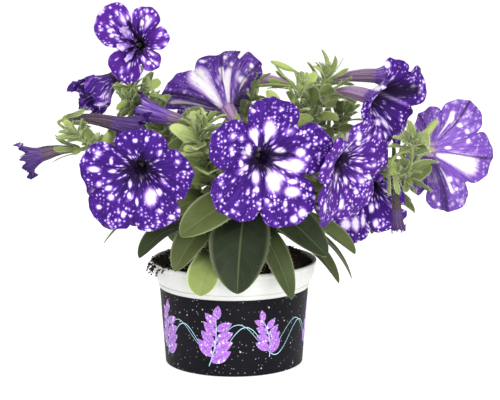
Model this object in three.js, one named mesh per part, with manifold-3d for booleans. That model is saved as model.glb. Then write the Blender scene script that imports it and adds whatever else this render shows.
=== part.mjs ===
// Potted trailing petunia in a 12 cm plastic pot: speckled blooms on leafy stems that stand in soil.
// Millimetres, +Z up. The origin is the centre of the pot's flat underside and the front faces -Y.
// Every leaf and petal is a closed solid, and any random draw comes from a seeded generator.
import * as THREE from "three";
import { mergeVertices } from "three/addons/utils/BufferGeometryUtils.js";
import Module from "manifold-3d";

const wasm = await Module();
wasm.setup();

const DEGREE = Math.PI / 180;
const GOLDEN_ANGLE = 137.5;
const UP = new THREE.Vector3(0, 0, 1);
const FIT_GAP = 0.3;
const LEAF_CLEARANCE = 0.4;
const OWN_CLEARANCE = 0.1;
const FINISH_TOLERANCE = 0.09;

// Pot: a tapered body with a thicker collar that widens to the rim
const ROUND_STEPS = 30;
const POT_WALL = 1.4;
const POT_FLOOR = 1.8;
const POT_BASE_RADIUS = 48.9;
const POT_SHOULDER_RADIUS = 53.0;
const POT_SHOULDER_HEIGHT = 56.6;
const POT_RIM_RADIUS = 60;
const POT_HEIGHT = 75.8;
const DRAIN_HOLES = 6;
const DRAIN_RADIUS = 4;
const DRAIN_SIDES = 8;
const DRAIN_CIRCLE = 34;

// Printed sleeve round the body of the pot
const SLEEVE_THICKNESS = 0.7;
const SLEEVE_BOTTOM = 1.0;
const SLEEVE_TOP = 56.2;

// Soil with a low mound and one hole for each stem
const SOIL_EDGE_HEIGHT = 72.5;
const SOIL_MOUND_HEIGHT = 85;
const SOIL_RELIEF = 0.7;
const STEM_DEPTH = 17;
const STEM_SIDES = 5;
const STEM_STEPS = 9;
const STEM_RADIUS = 1.9;
const STEM_TIP_RADIUS = 1.0;
const HOLE_RADIUS = STEM_RADIUS + 1.0;
const HOLE_SIDES = 6;

// Corolla: a funnel-shaped limb of five joined lobes in front of a slim tube
const LOBE_STEPS = 4;
const LIMB_RINGS = [1, 0.66, 0.32, 0];
const SMALL_LIMB_RINGS = [1, 0.5, 0];
const SMALL_LIMB_REACH = 16;
const THROAT_RADIUS = 5.2;
const THROAT_FOOT_DEPTH = 8;
const THROAT_FOOT_RADIUS = 2.9;
const THROAT_POINT_DEPTH = 12;
const NOTCH_SHARPNESS = 2.6;
const RIM_CURL = 1.5;
const PETAL_THICKNESS = 0.9;
const PETALOID_RISE = 14;
const CLOSE_START = 0.4;
const CLOSE_PULL = 0.62;
const CLOSE_RISE = 6;
const TUBE_SIDES = 6;
const TUBE_LENGTH = 32;
const TUBE_DROOP = 0.16;
const TUBE_BASE_RADIUS = 1.9;
const TUBE_RINGS = [[0.2, 5.0], [0.5, 4.0], [1, TUBE_BASE_RADIUS]];

// Calyx: a small green cup with five narrow sepals round the foot of the tube
const SEPALS = 5;
const CUP_LENGTH = 4.5;
const CUP_RADIUS = 3.4;
const CUP_FLOOR_RADIUS = TUBE_BASE_RADIUS + 0.5;
const PEDICEL_RADIUS = 1.0;
const STALK_STEPS = 3;
const STALK_SIDES = 4;
const STALK_LOWEST = 0.3;
const STALK_HIGHEST = 0.96;
const SEPAL_LENGTH = 15;
const SEPAL_WIDTH = 4;
const SEPAL_SPREAD = 7;
const SEPAL_UNEVEN = 0.36;
const SEPAL_ROOT_TURN = 22;
const SEPAL_WIDEST = 0.72;
const BLADE_THICKNESS = 0.9;

// Small leaves: where on the stem they begin, their length and pitch at the foot and at the tip
const LEAF_START = 0.3;
const LEAF_SPAN = 0.69;
const LEAF_CROWDING = 0.62;
const LEAF_LENGTHS = [42, 21];
const LEAF_PITCHES = [18, 60];
const LEAF_ROOT_WIDTH = 1.2;
const LEAF_CENTRE_Y = 30;
const TRIES = 10;

// One bloom a line. at: the throat; az and el: where it faces, from the front and from level, in degrees;
// lobes: direction, reach and the radius of the notch after it; depth: how deep the funnel is;
// plain: made of fewer rings; close: how far a crumpled limb has closed; slim: a shrunken throat and tube;
// spread: how far the sepals stand off.
const BLOOMS = [
  {
    name: "bloom_front_left", stem: "left_low", at: [-62.5, -72, 152.5], az: -5, el: -12, depth: 14,
    lobes: [[0, 37, 30], [82, 32, 27], [170, 38.5, 34.5], [233, 43, 38], [292, 42.5, 33]], wave: 1.6,
  },
  {
    name: "bloom_front_centre", stem: "centre", at: [19.6, -85, 161.1], az: 20, el: -8, depth: 14,
    lobes: [[14, 45, 34], [88, 44, 31.5], [152, 45, 31], [224, 45, 37], [302, 48, 33]], wave: 2.2,
  },
  {
    name: "bloom_front_right", stem: "right_low", at: [71.5, -60, 155.4], az: 52, el: -18, depth: 14,
    lobes: [[20, 39, 34], [95, 37, 33], [160, 36, 30], [238, 44, 38], [300, 44, 36]], wave: 2.6,
  },
  {
    name: "bloom_right_low", stem: "right_low", at: [97, -14.5, 132], az: -8, el: -34, depth: 13,
    lobes: [[18, 25, 22], [92, 23, 20], [168, 26, 24], [240, 51, 34], [300, 36, 26]], wave: 1.8,
  },
  {
    name: "bloom_right_top", stem: "right_top", at: [95.5, -25, 195.6], az: 49, el: -12, depth: 21,
    lobes: [[30, 36, 29], [100, 32, 25], [172, 31, 27], [242, 33, 28], [312, 36, 30]], wave: 2.8,
  },
  {
    name: "bloom_far_right", stem: "right", at: [142.2, 0, 154.9], az: 135, el: -14, depth: 19,
    lobes: [[40, 40, 33], [106, 41, 33], [180, 41, 32], [258, 42, 34], [324, 41, 34]], wave: 1.8,
  },
  {
    name: "bloom_top_left", stem: "left_top", at: [-67.6, -12, 231.1], az: -8, el: 4, depth: 9,
    lobes: [[14, 24.5, 22], [65, 28, 21.5], [130, 34, 14], [257, 27, 17], [318, 22.5, 16]], wave: 1.5,
    petaloids: [[128, 15, 8], [206, 10, 8], [252, 15, 6]],
  },
  {
    name: "bloom_back_centre", stem: "centre_left", at: [-5.6, 12, 184.5], az: 216.5, el: 40, depth: 20,
    lobes: [[0, 46, 36], [72, 43, 33], [140, 38, 32], [212, 42, 33], [288, 36, 32]], wave: 2, tube: 24,
  },
  {
    name: "bloom_back_left", stem: "back_left", at: [-76, 48, 124], az: -132, el: -4, depth: 14,
    lobes: [[18, 37, 31], [90, 38, 31], [162, 37, 30], [234, 39, 31], [306, 38, 31]], wave: 2, plain: true,
  },
  {
    name: "bloom_back_middle", stem: "back_centre", at: [12, 84, 134], az: 184, el: -6, depth: 14,
    lobes: [[12, 41, 34], [84, 40, 33], [158, 42, 33], [231, 43, 34], [302, 42, 34]], wave: 2.2, plain: true,
  },
  {
    name: "bloom_back_right", stem: "back_right", at: [80, 60, 122], az: 150, el: -6, depth: 14,
    lobes: [[20, 38, 32], [92, 38, 31], [166, 39, 32], [236, 40, 32], [306, 38, 31]], wave: 1.8, plain: true,
  },
  {
    name: "bloom_left_crumpled", stem: "left_top", at: [-87, 2, 205], az: -50, el: -30, depth: 22,
    lobes: [[10, 23, 18], [84, 21, 17], [158, 25, 17], [232, 25, 18], [304, 22, 17]], wave: 3.4, curl: -1,
    tube: 22, close: 0.5, spread: 10,
  },
  {
    name: "spent_bloom_left", stem: "left_low", at: [-80, -38, 178], az: 84, el: -14, depth: 20,
    lobes: [[0, 10, 8], [76, 14, 9], [150, 12, 8], [222, 11, 8], [292, 15, 9]], wave: 1.6, tube: 36,
    spread: 4.2,
  },
  {
    name: "wilted_bloom_left", stem: "centre_left", at: [-47, -19, 181], az: -96, el: 14, depth: 22,
    lobes: [[0, 10, 8], [76, 13, 9], [150, 13, 9], [222, 12, 8], [292, 10, 8]], wave: 1.4, tube: 22,
  },
  {
    name: "spent_bloom_far_left", stem: "left_low", at: [-135, -34, 156], az: -88, el: -18, depth: 12,
    lobes: [[0, 11, 8], [76, 13, 9], [150, 11, 8], [226, 13, 9], [300, 15, 8]], wave: 1.4, tube: 26,
    spread: 6,
  },
  {
    name: "spent_bloom_right", stem: "right", at: [112, -62, 119], az: 70, el: -84, depth: 12,
    lobes: [[0, 5, 4.2], [76, 5.4, 4.6], [150, 4.8, 4.2], [222, 5.2, 4.4], [292, 5, 4.2]], wave: 0.6, tube: 34,
    slim: 0.66, spread: 2.6,
  },
  {
    name: "bloom_right_back", stem: "right_top", at: [104, 34, 205], az: 96, el: -4, depth: 11,
    lobes: [[0, 13, 11], [72, 13, 10], [144, 12, 10], [216, 13, 10], [288, 13, 11]], wave: 1.2, tube: 34,
  },
  {
    name: "bloom_back_top", stem: "back_centre", at: [14, 64, 199], az: -104, el: -4, depth: 16,
    lobes: [[0, 25, 20], [72, 24, 20], [144, 25, 21], [216, 26, 21], [288, 25, 20]], wave: 1.6, tube: 28,
  },
];

// Leafy stems: hole in the soil, how far it rises straight, the bend, the tip, and its small leaves
const STEMS = [
  { name: "left_low", hole: [-20, -10], rise: 34, bend: [-66, -24, 150], tip: [-106, -44, 168], leaves: 18 },
  { name: "left_top", hole: [-14, 6], rise: 46, bend: [-58, 2, 170], tip: [-72, -6, 198], leaves: 16 },
  { name: "centre_left", hole: [-7, -8], rise: 44, bend: [-20, -30, 140], tip: [-24, -42, 172], leaves: 18 },
  { name: "centre", hole: [5, -16], rise: 40, bend: [22, -26, 150], tip: [46, -24, 200], leaves: 19 },
  { name: "right_top", hole: [10, 2], rise: 52, bend: [50, 0, 170], tip: [66, -2, 208], leaves: 18 },
  { name: "right", hole: [18, -6], rise: 60, bend: [140, 40, 90], tip: [122, -56, 166], leaves: 22 },
  { name: "right_low", hole: [13, -18], rise: 30, bend: [46, -28, 134], tip: [68, -26, 154], leaves: 9 },
  { name: "back_left", hole: [-14, 17], rise: 34, bend: [-46, 38, 140], tip: [-60, 46, 178], leaves: 11 },
  { name: "back_centre", hole: [2, 20], rise: 44, bend: [4, 44, 160], tip: [14, 40, 196], leaves: 12 },
  { name: "back_right", hole: [17, 14], rise: 34, bend: [44, 40, 140], tip: [84, 46, 172], leaves: 10 },
];

// Large lower leaves, each by its place along the stem, its tip, its width and how far it arches
const LARGE_LEAVES = [
  { stem: "centre", along: 0.3, tip: [3, -74, 66], width: 42, arch: 24, roll: 0 },
  { stem: "centre", along: 0.24, tip: [40, -77, 63], width: 19, arch: 24, roll: 10 },
  { stem: "centre", along: 0.38, tip: [64, -68, 91], width: 27, arch: 14, roll: 30 },
  { stem: "centre", along: 0.4, tip: [-36, -64, 104], width: 27, arch: 12, roll: -38 },
  { stem: "centre_left", along: 0.22, tip: [-40, -62, 79], width: 24, arch: 18, roll: -14 },
  { stem: "centre_left", along: 0.08, tip: [-22, -76, 65], width: 24, arch: 18, roll: 0 },
  { stem: "centre_left", along: 0.36, tip: [-48, -50, 116], width: 24, arch: 10, roll: -30 },
  { stem: "left_low", along: 0.16, tip: [-66, -40, 84], width: 22, arch: 20, roll: -10 },
  { stem: "left_low", along: 0.42, tip: [-90, -46, 96], width: 12, arch: 10, roll: 30 },
  { stem: "left_low", along: 0.1, tip: [-62, 16, 92], width: 24, arch: 18, roll: 0 },
  { stem: "right_low", along: 0.2, tip: [74, -40, 66], width: 19, arch: 24, roll: 10 },
  { stem: "right_low", along: 0.3, tip: [84, -24, 66], width: 18, arch: 24, roll: 0 },
  { stem: "right_low", along: 0.4, tip: [84, -56, 90], width: 26, arch: 12, roll: 0 },
  { stem: "right", along: 0.14, tip: [76, 20, 84], width: 26, arch: 20, roll: 0 },
  { stem: "back_left", along: 0.14, tip: [-46, 60, 76], width: 28, arch: 24, roll: 0 },
  { stem: "back_centre", along: 0.1, tip: [-14, 78, 66], width: 34, arch: 30, roll: 0 },
  { stem: "back_centre", along: 0.24, tip: [28, 76, 82], width: 28, arch: 24, roll: 0 },
  { stem: "back_right", along: 0.14, tip: [64, 50, 74], width: 26, arch: 22, roll: 0 },
];

// Closed buds on short stalks: where each leaves its stem, its foot and its tip
const BUDS = [
  { stem: "centre", along: 0.86, foot: [41.5, -18, 213.8], tip: [25.8, -18, 220.2], radius: 2.2 },
  { stem: "right", along: 0.94, foot: [134, -22, 168], tip: [143.7, -20, 179.6], radius: 2.6 },
  { stem: "left_low", along: 0.86, foot: [-88, -46, 164], tip: [-86, -48, 174], radius: 2.8 },
  { stem: "back_right", along: 0.95, foot: [88, 52, 182], tip: [94, 58, 194], radius: 2.4 },
];

// Rings of a bud: share along it and part of its full radius
const BUD_RINGS = [[0.28, 1], [0.7, 0.85]];
const BUD_SIDES = 5;

const COLOURS = {
  pot: [0xf1f1ee, 0.35],
  sleeve: [0x26252b, 0.45],
  soil: [0x1d1713, 0.95],
  green: [0x6d8a3c, 0.7],
  petal: [0x4a1f9c, 0.6],
};

const vector = (list) => new THREE.Vector3(...list);

// Seeded generator of numbers from 0 to 1
function dice(seed) {
  let state = seed >>> 0;
  return () => {
    state = (state + 0x6d2b79f5) >>> 0;
    let mixed = Math.imul(state ^ (state >>> 15), state | 1);
    mixed ^= mixed + Math.imul(mixed ^ (mixed >>> 7), mixed | 61);
    return ((mixed ^ (mixed >>> 14)) >>> 0) / 4294967296;
  };
}

// Closed surface made of rings of points, joined band by band
class Skin {
  constructor() {
    this.points = [];
    this.faces = [];
  }

  ring(points) {
    const first = this.points.length;
    this.points.push(...points);
    return points.map((_, index) => first + index);
  }

  band(near, far) {
    for (let side = 0; side < near.length; side++) {
      const next = (side + 1) % near.length;
      this.faces.push([near[side], near[next], far[next]], [near[side], far[next], far[side]]);
    }
  }

  // Band between rings of different counts, whose first points lie side by side
  step(near, far) {
    let a = 0;
    let b = 0;
    while (a < near.length || b < far.length) {
      const nearFirst = (a + 1) / near.length <= (b + 1) / far.length;
      const nearPoint = near[a % near.length];
      const farPoint = far[b % far.length];
      if (a < near.length && nearFirst) {
        this.faces.push([nearPoint, near[(a + 1) % near.length], farPoint]);
        a += 1;
      } else {
        this.faces.push([nearPoint, far[(b + 1) % far.length], farPoint]);
        b += 1;
      }
    }
  }

  fan(ring, apex) {
    const [top] = this.ring([apex]);
    ring.forEach((point, side) => this.faces.push([point, ring[(side + 1) % ring.length], top]));
  }

  lid(ring) {
    for (let side = 1; side < ring.length - 1; side++) {
      this.faces.push([ring[0], ring[side], ring[side + 1]]);
    }
  }

  // Stalk from an open ring, which turns left-handed about the line, to its closed far end
  stalk(open, line, across) {
    let last = open;
    let side = across;
    for (let step = 0; step <= STALK_STEPS; step++) {
      const tangent = line.getTangent(step / STALK_STEPS);
      const other = new THREE.Vector3().crossVectors(tangent, side).normalize();
      side = new THREE.Vector3().crossVectors(other, tangent).normalize();
      const points = circle(line.getPoint(step / STALK_STEPS), side, other, PEDICEL_RADIUS, STALK_SIDES);
      const ring = this.ring(points).reverse();
      this.step(last, ring);
      last = ring;
    }
    this.lid(last);
  }

  solid() {
    const [a, b, c] = [new THREE.Vector3(), new THREE.Vector3(), new THREE.Vector3()];
    const volume = this.faces.reduce((sum, face) => {
      [a, b, c].forEach((corner, index) => corner.copy(this.points[face[index]]));
      return sum + a.dot(b.cross(c));
    }, 0);
    const faces = volume < 0 ? this.faces.map(([p, q, r]) => [p, r, q]) : this.faces;
    const vertProperties = new Float32Array(this.points.flatMap((point) => point.toArray()));
    const triVerts = new Uint32Array(faces.flat());
    return new wasm.Manifold(new wasm.Mesh({ numProp: 3, vertProperties, triVerts }));
  }
}

// Closed three.js geometry as a solid
function solidOf(geometry) {
  geometry.deleteAttribute("normal");
  geometry.deleteAttribute("uv");
  const merged = mergeVertices(geometry, 1e-4);
  const vertProperties = new Float32Array(merged.attributes.position.array);
  const triVerts = new Uint32Array(merged.index.array);
  return new wasm.Manifold(new wasm.Mesh({ numProp: 3, vertProperties, triVerts }));
}

// Lathe about Z from pairs of radius and height
function turned(profile, steps = ROUND_STEPS) {
  const points = profile.map(([radius, height]) => new THREE.Vector2(radius, height));
  return new THREE.LatheGeometry(points, steps).rotateX(Math.PI / 2);
}

// The largest body of a solid, with no loose scrap and no sealed hollow
function mainBody(solid) {
  const bodies = solid.decompose();
  return bodies.reduce((largest, body) => (body.volume() > largest.volume() ? body : largest));
}

// Round rod of few sides along a curve, its radius going from one end's to the other's
function rod(curve, startRadius, endRadius, sides, steps) {
  const skin = new Skin();
  const rings = [];
  let across = new THREE.Vector3(1, 0, 0);
  for (let step = 0; step <= steps; step++) {
    const along = step / steps;
    const centre = curve.getPoint(along);
    const tangent = curve.getTangent(along);
    const other = new THREE.Vector3().crossVectors(tangent, across).normalize();
    across = new THREE.Vector3().crossVectors(other, tangent).normalize();
    const radius = startRadius + (endRadius - startRadius) * along;
    rings.push(skin.ring(circle(centre, across, other, radius, sides)));
  }
  for (let step = 0; step < steps; step++) {
    skin.band(rings[step], rings[step + 1]);
  }
  skin.lid([...rings[0]].reverse());
  skin.lid(rings[steps]);
  return skin.solid();
}

function circle(centre, across, other, radius, sides) {
  return Array.from({ length: sides }, (_, side) => {
    const angle = (2 * Math.PI * side) / sides;
    return centre.clone()
      .addScaledVector(across, radius * Math.cos(angle))
      .addScaledVector(other, radius * Math.sin(angle));
  });
}

// Pot wall radius at a height below the collar
function wallRadius(height) {
  return POT_BASE_RADIUS + (POT_SHOULDER_RADIUS - POT_BASE_RADIUS) * (height / POT_SHOULDER_HEIGHT);
}

function makePot() {
  const profile = [
    [0, 0], [POT_BASE_RADIUS - 1.2, 0], [POT_BASE_RADIUS, 1.0],
    [POT_SHOULDER_RADIUS, POT_SHOULDER_HEIGHT], [POT_SHOULDER_RADIUS + 1.7, POT_SHOULDER_HEIGHT],
    [POT_RIM_RADIUS - 5.1, 59.8], [POT_RIM_RADIUS - 4.4, 60.4],
    [POT_RIM_RADIUS - 2.2, 65.4], [POT_RIM_RADIUS - 0.6, 72.8],
    [POT_RIM_RADIUS, 73.3], [POT_RIM_RADIUS, POT_HEIGHT - 0.6], [POT_RIM_RADIUS - 0.9, POT_HEIGHT],
    [POT_RIM_RADIUS - 2.0, POT_HEIGHT], [POT_RIM_RADIUS - 2.6, 69.6], [POT_RIM_RADIUS - 5.8, 61.4],
    [wallRadius(POT_SHOULDER_HEIGHT) - POT_WALL, POT_SHOULDER_HEIGHT],
    [wallRadius(0) - POT_WALL, POT_FLOOR], [0, POT_FLOOR],
  ];
  let pot = solidOf(turned(profile));
  for (let hole = 0; hole < DRAIN_HOLES; hole++) {
    const angle = (2 * Math.PI * hole) / DRAIN_HOLES;
    const drill = new THREE.CylinderGeometry(DRAIN_RADIUS, DRAIN_RADIUS, 3 * POT_FLOOR, DRAIN_SIDES);
    drill.rotateX(Math.PI / 2).translate(DRAIN_CIRCLE * Math.cos(angle), DRAIN_CIRCLE * Math.sin(angle), 0);
    pot = pot.subtract(solidOf(drill));
  }
  return pot;
}

function makeSleeve() {
  const inner = (height) => wallRadius(height) + FIT_GAP;
  return solidOf(turned([
    [inner(SLEEVE_BOTTOM), SLEEVE_BOTTOM], [inner(SLEEVE_BOTTOM) + SLEEVE_THICKNESS, SLEEVE_BOTTOM],
    [inner(SLEEVE_TOP) + SLEEVE_THICKNESS, SLEEVE_TOP], [inner(SLEEVE_TOP), SLEEVE_TOP],
    [inner(SLEEVE_BOTTOM), SLEEVE_BOTTOM],
  ]));
}

// Height of the soil's surface, mounded to the middle
function soilHeight(x, y) {
  const share = Math.min(1, Math.hypot(x, y) / (POT_RIM_RADIUS - 4));
  const mound = SOIL_MOUND_HEIGHT - (SOIL_MOUND_HEIGHT - SOIL_EDGE_HEIGHT) * share ** 4;
  return mound + SOIL_RELIEF * (Math.sin(0.31 * x + 0.4) * Math.cos(0.27 * y) + Math.sin(0.19 * (x + y)));
}

function makeSoil() {
  const clear = POT_WALL + FIT_GAP + 0.05;
  const edge = POT_RIM_RADIUS - 2.6 - FIT_GAP - 0.1;
  const profile = [
    [0, POT_FLOOR + FIT_GAP], [wallRadius(0) - clear, POT_FLOOR + FIT_GAP],
    [wallRadius(POT_SHOULDER_HEIGHT) - clear, POT_SHOULDER_HEIGHT],
    [POT_RIM_RADIUS - 6.3, 61.4], [edge, SOIL_EDGE_HEIGHT],
    [48, SOIL_EDGE_HEIGHT + 2], [36, SOIL_EDGE_HEIGHT + 3], [22, SOIL_EDGE_HEIGHT + 4],
    [0, SOIL_MOUND_HEIGHT],
  ];
  const geometry = turned(profile);
  const place = geometry.attributes.position;
  for (let point = 0; point < place.count; point++) {
    const [x, y] = [place.getX(point), place.getY(point)];
    if (place.getZ(point) > SOIL_EDGE_HEIGHT + 1) {
      place.setZ(point, soilHeight(x, y));
    }
  }
  let soil = solidOf(geometry);
  for (const { hole: [x, y] } of STEMS) {
    const depth = STEM_DEPTH + FIT_GAP;
    const drill = new THREE.CylinderGeometry(HOLE_RADIUS, HOLE_RADIUS, 2 * depth, HOLE_SIDES);
    soil = soil.subtract(solidOf(drill.rotateX(Math.PI / 2).translate(x, y, soilHeight(x, y))));
  }
  return soil;
}

// Directions of a bloom: the way it faces, and its own right and up
function bloomAxes({ az, el }) {
  const face = new THREE.Vector3(
    Math.sin(az * DEGREE) * Math.cos(el * DEGREE),
    -Math.cos(az * DEGREE) * Math.cos(el * DEGREE),
    Math.sin(el * DEGREE),
  );
  const right = new THREE.Vector3(Math.cos(az * DEGREE), Math.sin(az * DEGREE), 0);
  const above = new THREE.Vector3().crossVectors(face, right);
  return { face, right, above };
}

// Direction and reach of the limb's edge, by a turn that counts one for each lobe
function limbEdge(lobes, turn) {
  const index = Math.floor(turn) % lobes.length;
  const spot = 2 * (turn - Math.floor(turn)) - 1;
  const side = spot < 0 ? -1 : 1;
  const [angle, reach, notchAfter] = lobes[index];
  const [otherAngle, , otherNotch] = lobes[(index + side + lobes.length) % lobes.length];
  let between = ((otherAngle - angle) * side) % 360;
  between = side * (between < 0 ? between + 360 : between);
  const notch = side < 0 ? otherNotch : notchAfter;
  const share = Math.abs(spot);
  return [angle + (between / 2) * share, notch + (reach - notch) * (1 - share ** NOTCH_SHARPNESS)];
}

// Height of the limb above the throat, at a share of the way out to its edge
function limbHeight(bloom, angle, share) {
  const funnel = bloom.depth * (1 - (1 - share) ** 2);
  const curl = (bloom.curl ?? RIM_CURL) * share ** 4;
  const phase = bloom.at[0] * 0.7 + bloom.at[2] * 0.3;
  const ripple = Math.sin(3 * angle + phase) + 0.8 * Math.cos(5 * angle + 2 * phase);
  return funnel - curl + bloom.wave * share ** 2 * ripple;
}

// How far a crumpled limb has closed at a share of the way out, from 0 to its whole at the edge
function closingAt({ close = 0 }, share) {
  const part = Math.max(0, (share - CLOSE_START) / (1 - CLOSE_START));
  return close * part * part * (3 - 2 * part);
}

// Line of the tube from the throat back to the calyx
function tubeLine(bloom) {
  const { face } = bloomAxes(bloom);
  const start = vector(bloom.at);
  const length = bloom.tube ?? TUBE_LENGTH;
  const middle = start.clone().addScaledVector(face, -0.6 * length);
  const end = start.clone().addScaledVector(face, -length).addScaledVector(UP, -TUBE_DROOP * length);
  return new THREE.QuadraticBezierCurve3(start, middle, end);
}

// Ring of few points round the tube's line
function tubeRing(bloom, along, radius) {
  const { right } = bloomAxes(bloom);
  const line = tubeLine(bloom);
  const tangent = line.getTangent(along).negate();
  const other = new THREE.Vector3().crossVectors(tangent, right).normalize();
  const across = new THREE.Vector3().crossVectors(other, tangent).normalize();
  const start = bloom.lobes[0][0] * DEGREE;
  const first = across.clone().multiplyScalar(Math.cos(start)).addScaledVector(other, Math.sin(start));
  const second = other.clone().multiplyScalar(Math.cos(start)).addScaledVector(across, -Math.sin(start));
  return circle(line.getPoint(along), first, second, radius, TUBE_SIDES);
}

function limbRing(bloom, share, lift) {
  const { face, right, above } = bloomAxes(bloom);
  const count = LOBE_STEPS * bloom.lobes.length;
  return Array.from({ length: count }, (_, step) => {
    const turn = (step + LOBE_STEPS / 2) / LOBE_STEPS;
    const [degrees, reach] = limbEdge(bloom.lobes, turn % bloom.lobes.length);
    const angle = degrees * DEGREE;
    const throat = THROAT_RADIUS * (bloom.slim ?? 1);
    const closing = closingAt(bloom, share);
    const radius = (throat + (reach - throat) * share) * (1 - CLOSE_PULL * closing);
    return vector(bloom.at)
      .addScaledVector(right, radius * Math.cos(angle))
      .addScaledVector(above, radius * Math.sin(angle))
      .addScaledVector(face, limbHeight(bloom, angle, share) + CLOSE_RISE * closing + lift);
  });
}

// Corolla: front and back of the limb share its sharp edge, the tube is solid behind a short throat
function makeCorolla(bloom) {
  const skin = new Skin();
  const edge = skin.ring(limbRing(bloom, 1, 0));
  const small = bloom.plain || bloom.lobes.every(([, reach]) => reach < SMALL_LIMB_REACH);
  const inner = (small ? SMALL_LIMB_RINGS : LIMB_RINGS).slice(1);
  const length = bloom.tube ?? TUBE_LENGTH;
  let last = edge;
  for (const share of inner) {
    const ring = skin.ring(limbRing(bloom, share, 0));
    skin.band(last, ring);
    last = ring;
  }
  const slim = bloom.slim ?? 1;
  const footRadius = THROAT_FOOT_RADIUS * slim;
  const throat = skin.ring(tubeRing(bloom, Math.min(0.3, THROAT_FOOT_DEPTH / length), footRadius));
  skin.step(last, throat);
  skin.fan(throat, tubeLine(bloom).getPoint(Math.min(0.42, THROAT_POINT_DEPTH / length)));
  last = edge;
  const back = new Skin();
  back.points = skin.points;
  for (const share of inner) {
    const ring = back.ring(limbRing(bloom, share, -PETAL_THICKNESS));
    back.band(last, ring);
    last = ring;
  }
  for (const [along, radius] of TUBE_RINGS) {
    const ring = back.ring(tubeRing(bloom, along, Math.max(TUBE_BASE_RADIUS, radius * slim)));
    if (ring.length === last.length) {
      back.band(last, ring);
    } else {
      back.step(last, ring);
    }
    last = ring;
  }
  back.lid(last);
  skin.faces.push(...back.faces.map(([p, q, r]) => [p, r, q]));
  let corolla = skin.solid();
  for (const petaloid of bloom.petaloids ?? []) {
    corolla = corolla.add(makePetaloid(bloom, petaloid));
  }
  return corolla;
}

// Small extra petal that stands in the throat of a semi-double bloom
function makePetaloid(bloom, [degrees, reach, width]) {
  const { face, right, above } = bloomAxes(bloom);
  const outward = right.clone().multiplyScalar(Math.cos(degrees * DEGREE))
    .addScaledVector(above, Math.sin(degrees * DEGREE));
  const root = vector(bloom.at).addScaledVector(face, -5).addScaledVector(outward, 3.2);
  const tip = vector(bloom.at).addScaledVector(outward, reach).addScaledVector(face, PETALOID_RISE);
  return makeBlade({ root, tip, width, arch: 2, hint: face, roll: 0, rootWidth: 2.4 });
}

// Shares along a blade, with the part of its full width that each holds
const LARGE_OUTLINE = [[0, 0], [0.16, 0.34], [0.42, 0.95], [0.66, 0.94], [0.86, 0.52]];
const SMALL_OUTLINE = [[0, 0], [0.36, 0.8], [0.74, 1]];
const LARGE_FOLD = 0.16;
const SMALL_FOLD = 0.2;
const LARGE_ROOT_WIDTH = 2.2;

// Folded blade on an arched line, with sharp edges: a diamond section, or with keeled a three-sided one
function makeBlade({
  root, tip, width, arch, hint, roll, rootWidth, outline = SMALL_OUTLINE, fold = SMALL_FOLD, keeled = true,
}) {
  const line = new THREE.Vector3().subVectors(tip, root).normalize();
  const normal = hint.clone().addScaledVector(line, -hint.dot(line)).normalize()
    .applyAxisAngle(line, roll * DEGREE);
  const middle = root.clone().lerp(tip, 0.5).addScaledVector(normal, arch);
  const curve = new THREE.QuadraticBezierCurve3(root, middle, tip);
  const skin = new Skin();
  const rings = outline.map(([along, part], index) => {
    const centre = curve.getPoint(along);
    const side = new THREE.Vector3().crossVectors(curve.getTangent(along), normal).normalize();
    const top = new THREE.Vector3().crossVectors(side, curve.getTangent(along)).normalize();
    const half = index === 0 ? rootWidth / 2 : (part * width) / 2;
    const lift = fold * half;
    const upper = keeled ? [] : [centre.clone().addScaledVector(top, BLADE_THICKNESS / 2)];
    return skin.ring([
      centre.clone().addScaledVector(side, -half).addScaledVector(top, lift),
      ...upper,
      centre.clone().addScaledVector(side, half).addScaledVector(top, lift),
      centre.clone().addScaledVector(top, -BLADE_THICKNESS / 2),
    ]);
  });
  for (let index = 1; index < rings.length; index++) {
    skin.band(rings[index - 1], rings[index]);
  }
  skin.lid([...rings[0]].reverse());
  skin.fan(rings.at(-1), tip);
  return skin.solid();
}

// Curve of a stem above its hole
function stemLine({ hole: [x, y], rise, bend, tip }) {
  const foot = new THREE.Vector3(x, y, soilHeight(x, y));
  const lift = foot.clone().addScaledVector(UP, rise);
  return new THREE.CubicBezierCurve3(foot, lift, vector(bend), vector(tip));
}

// Stem: a straight foot in its hole, then the curve
function makeStem(stem) {
  const path = new THREE.CurvePath();
  const line = stemLine(stem);
  const foot = line.getPoint(0);
  path.add(new THREE.LineCurve3(foot.clone().addScaledVector(UP, -STEM_DEPTH), foot));
  path.add(line);
  return rod(path, STEM_RADIUS, STEM_TIP_RADIUS, STEM_SIDES, STEM_STEPS);
}

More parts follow.
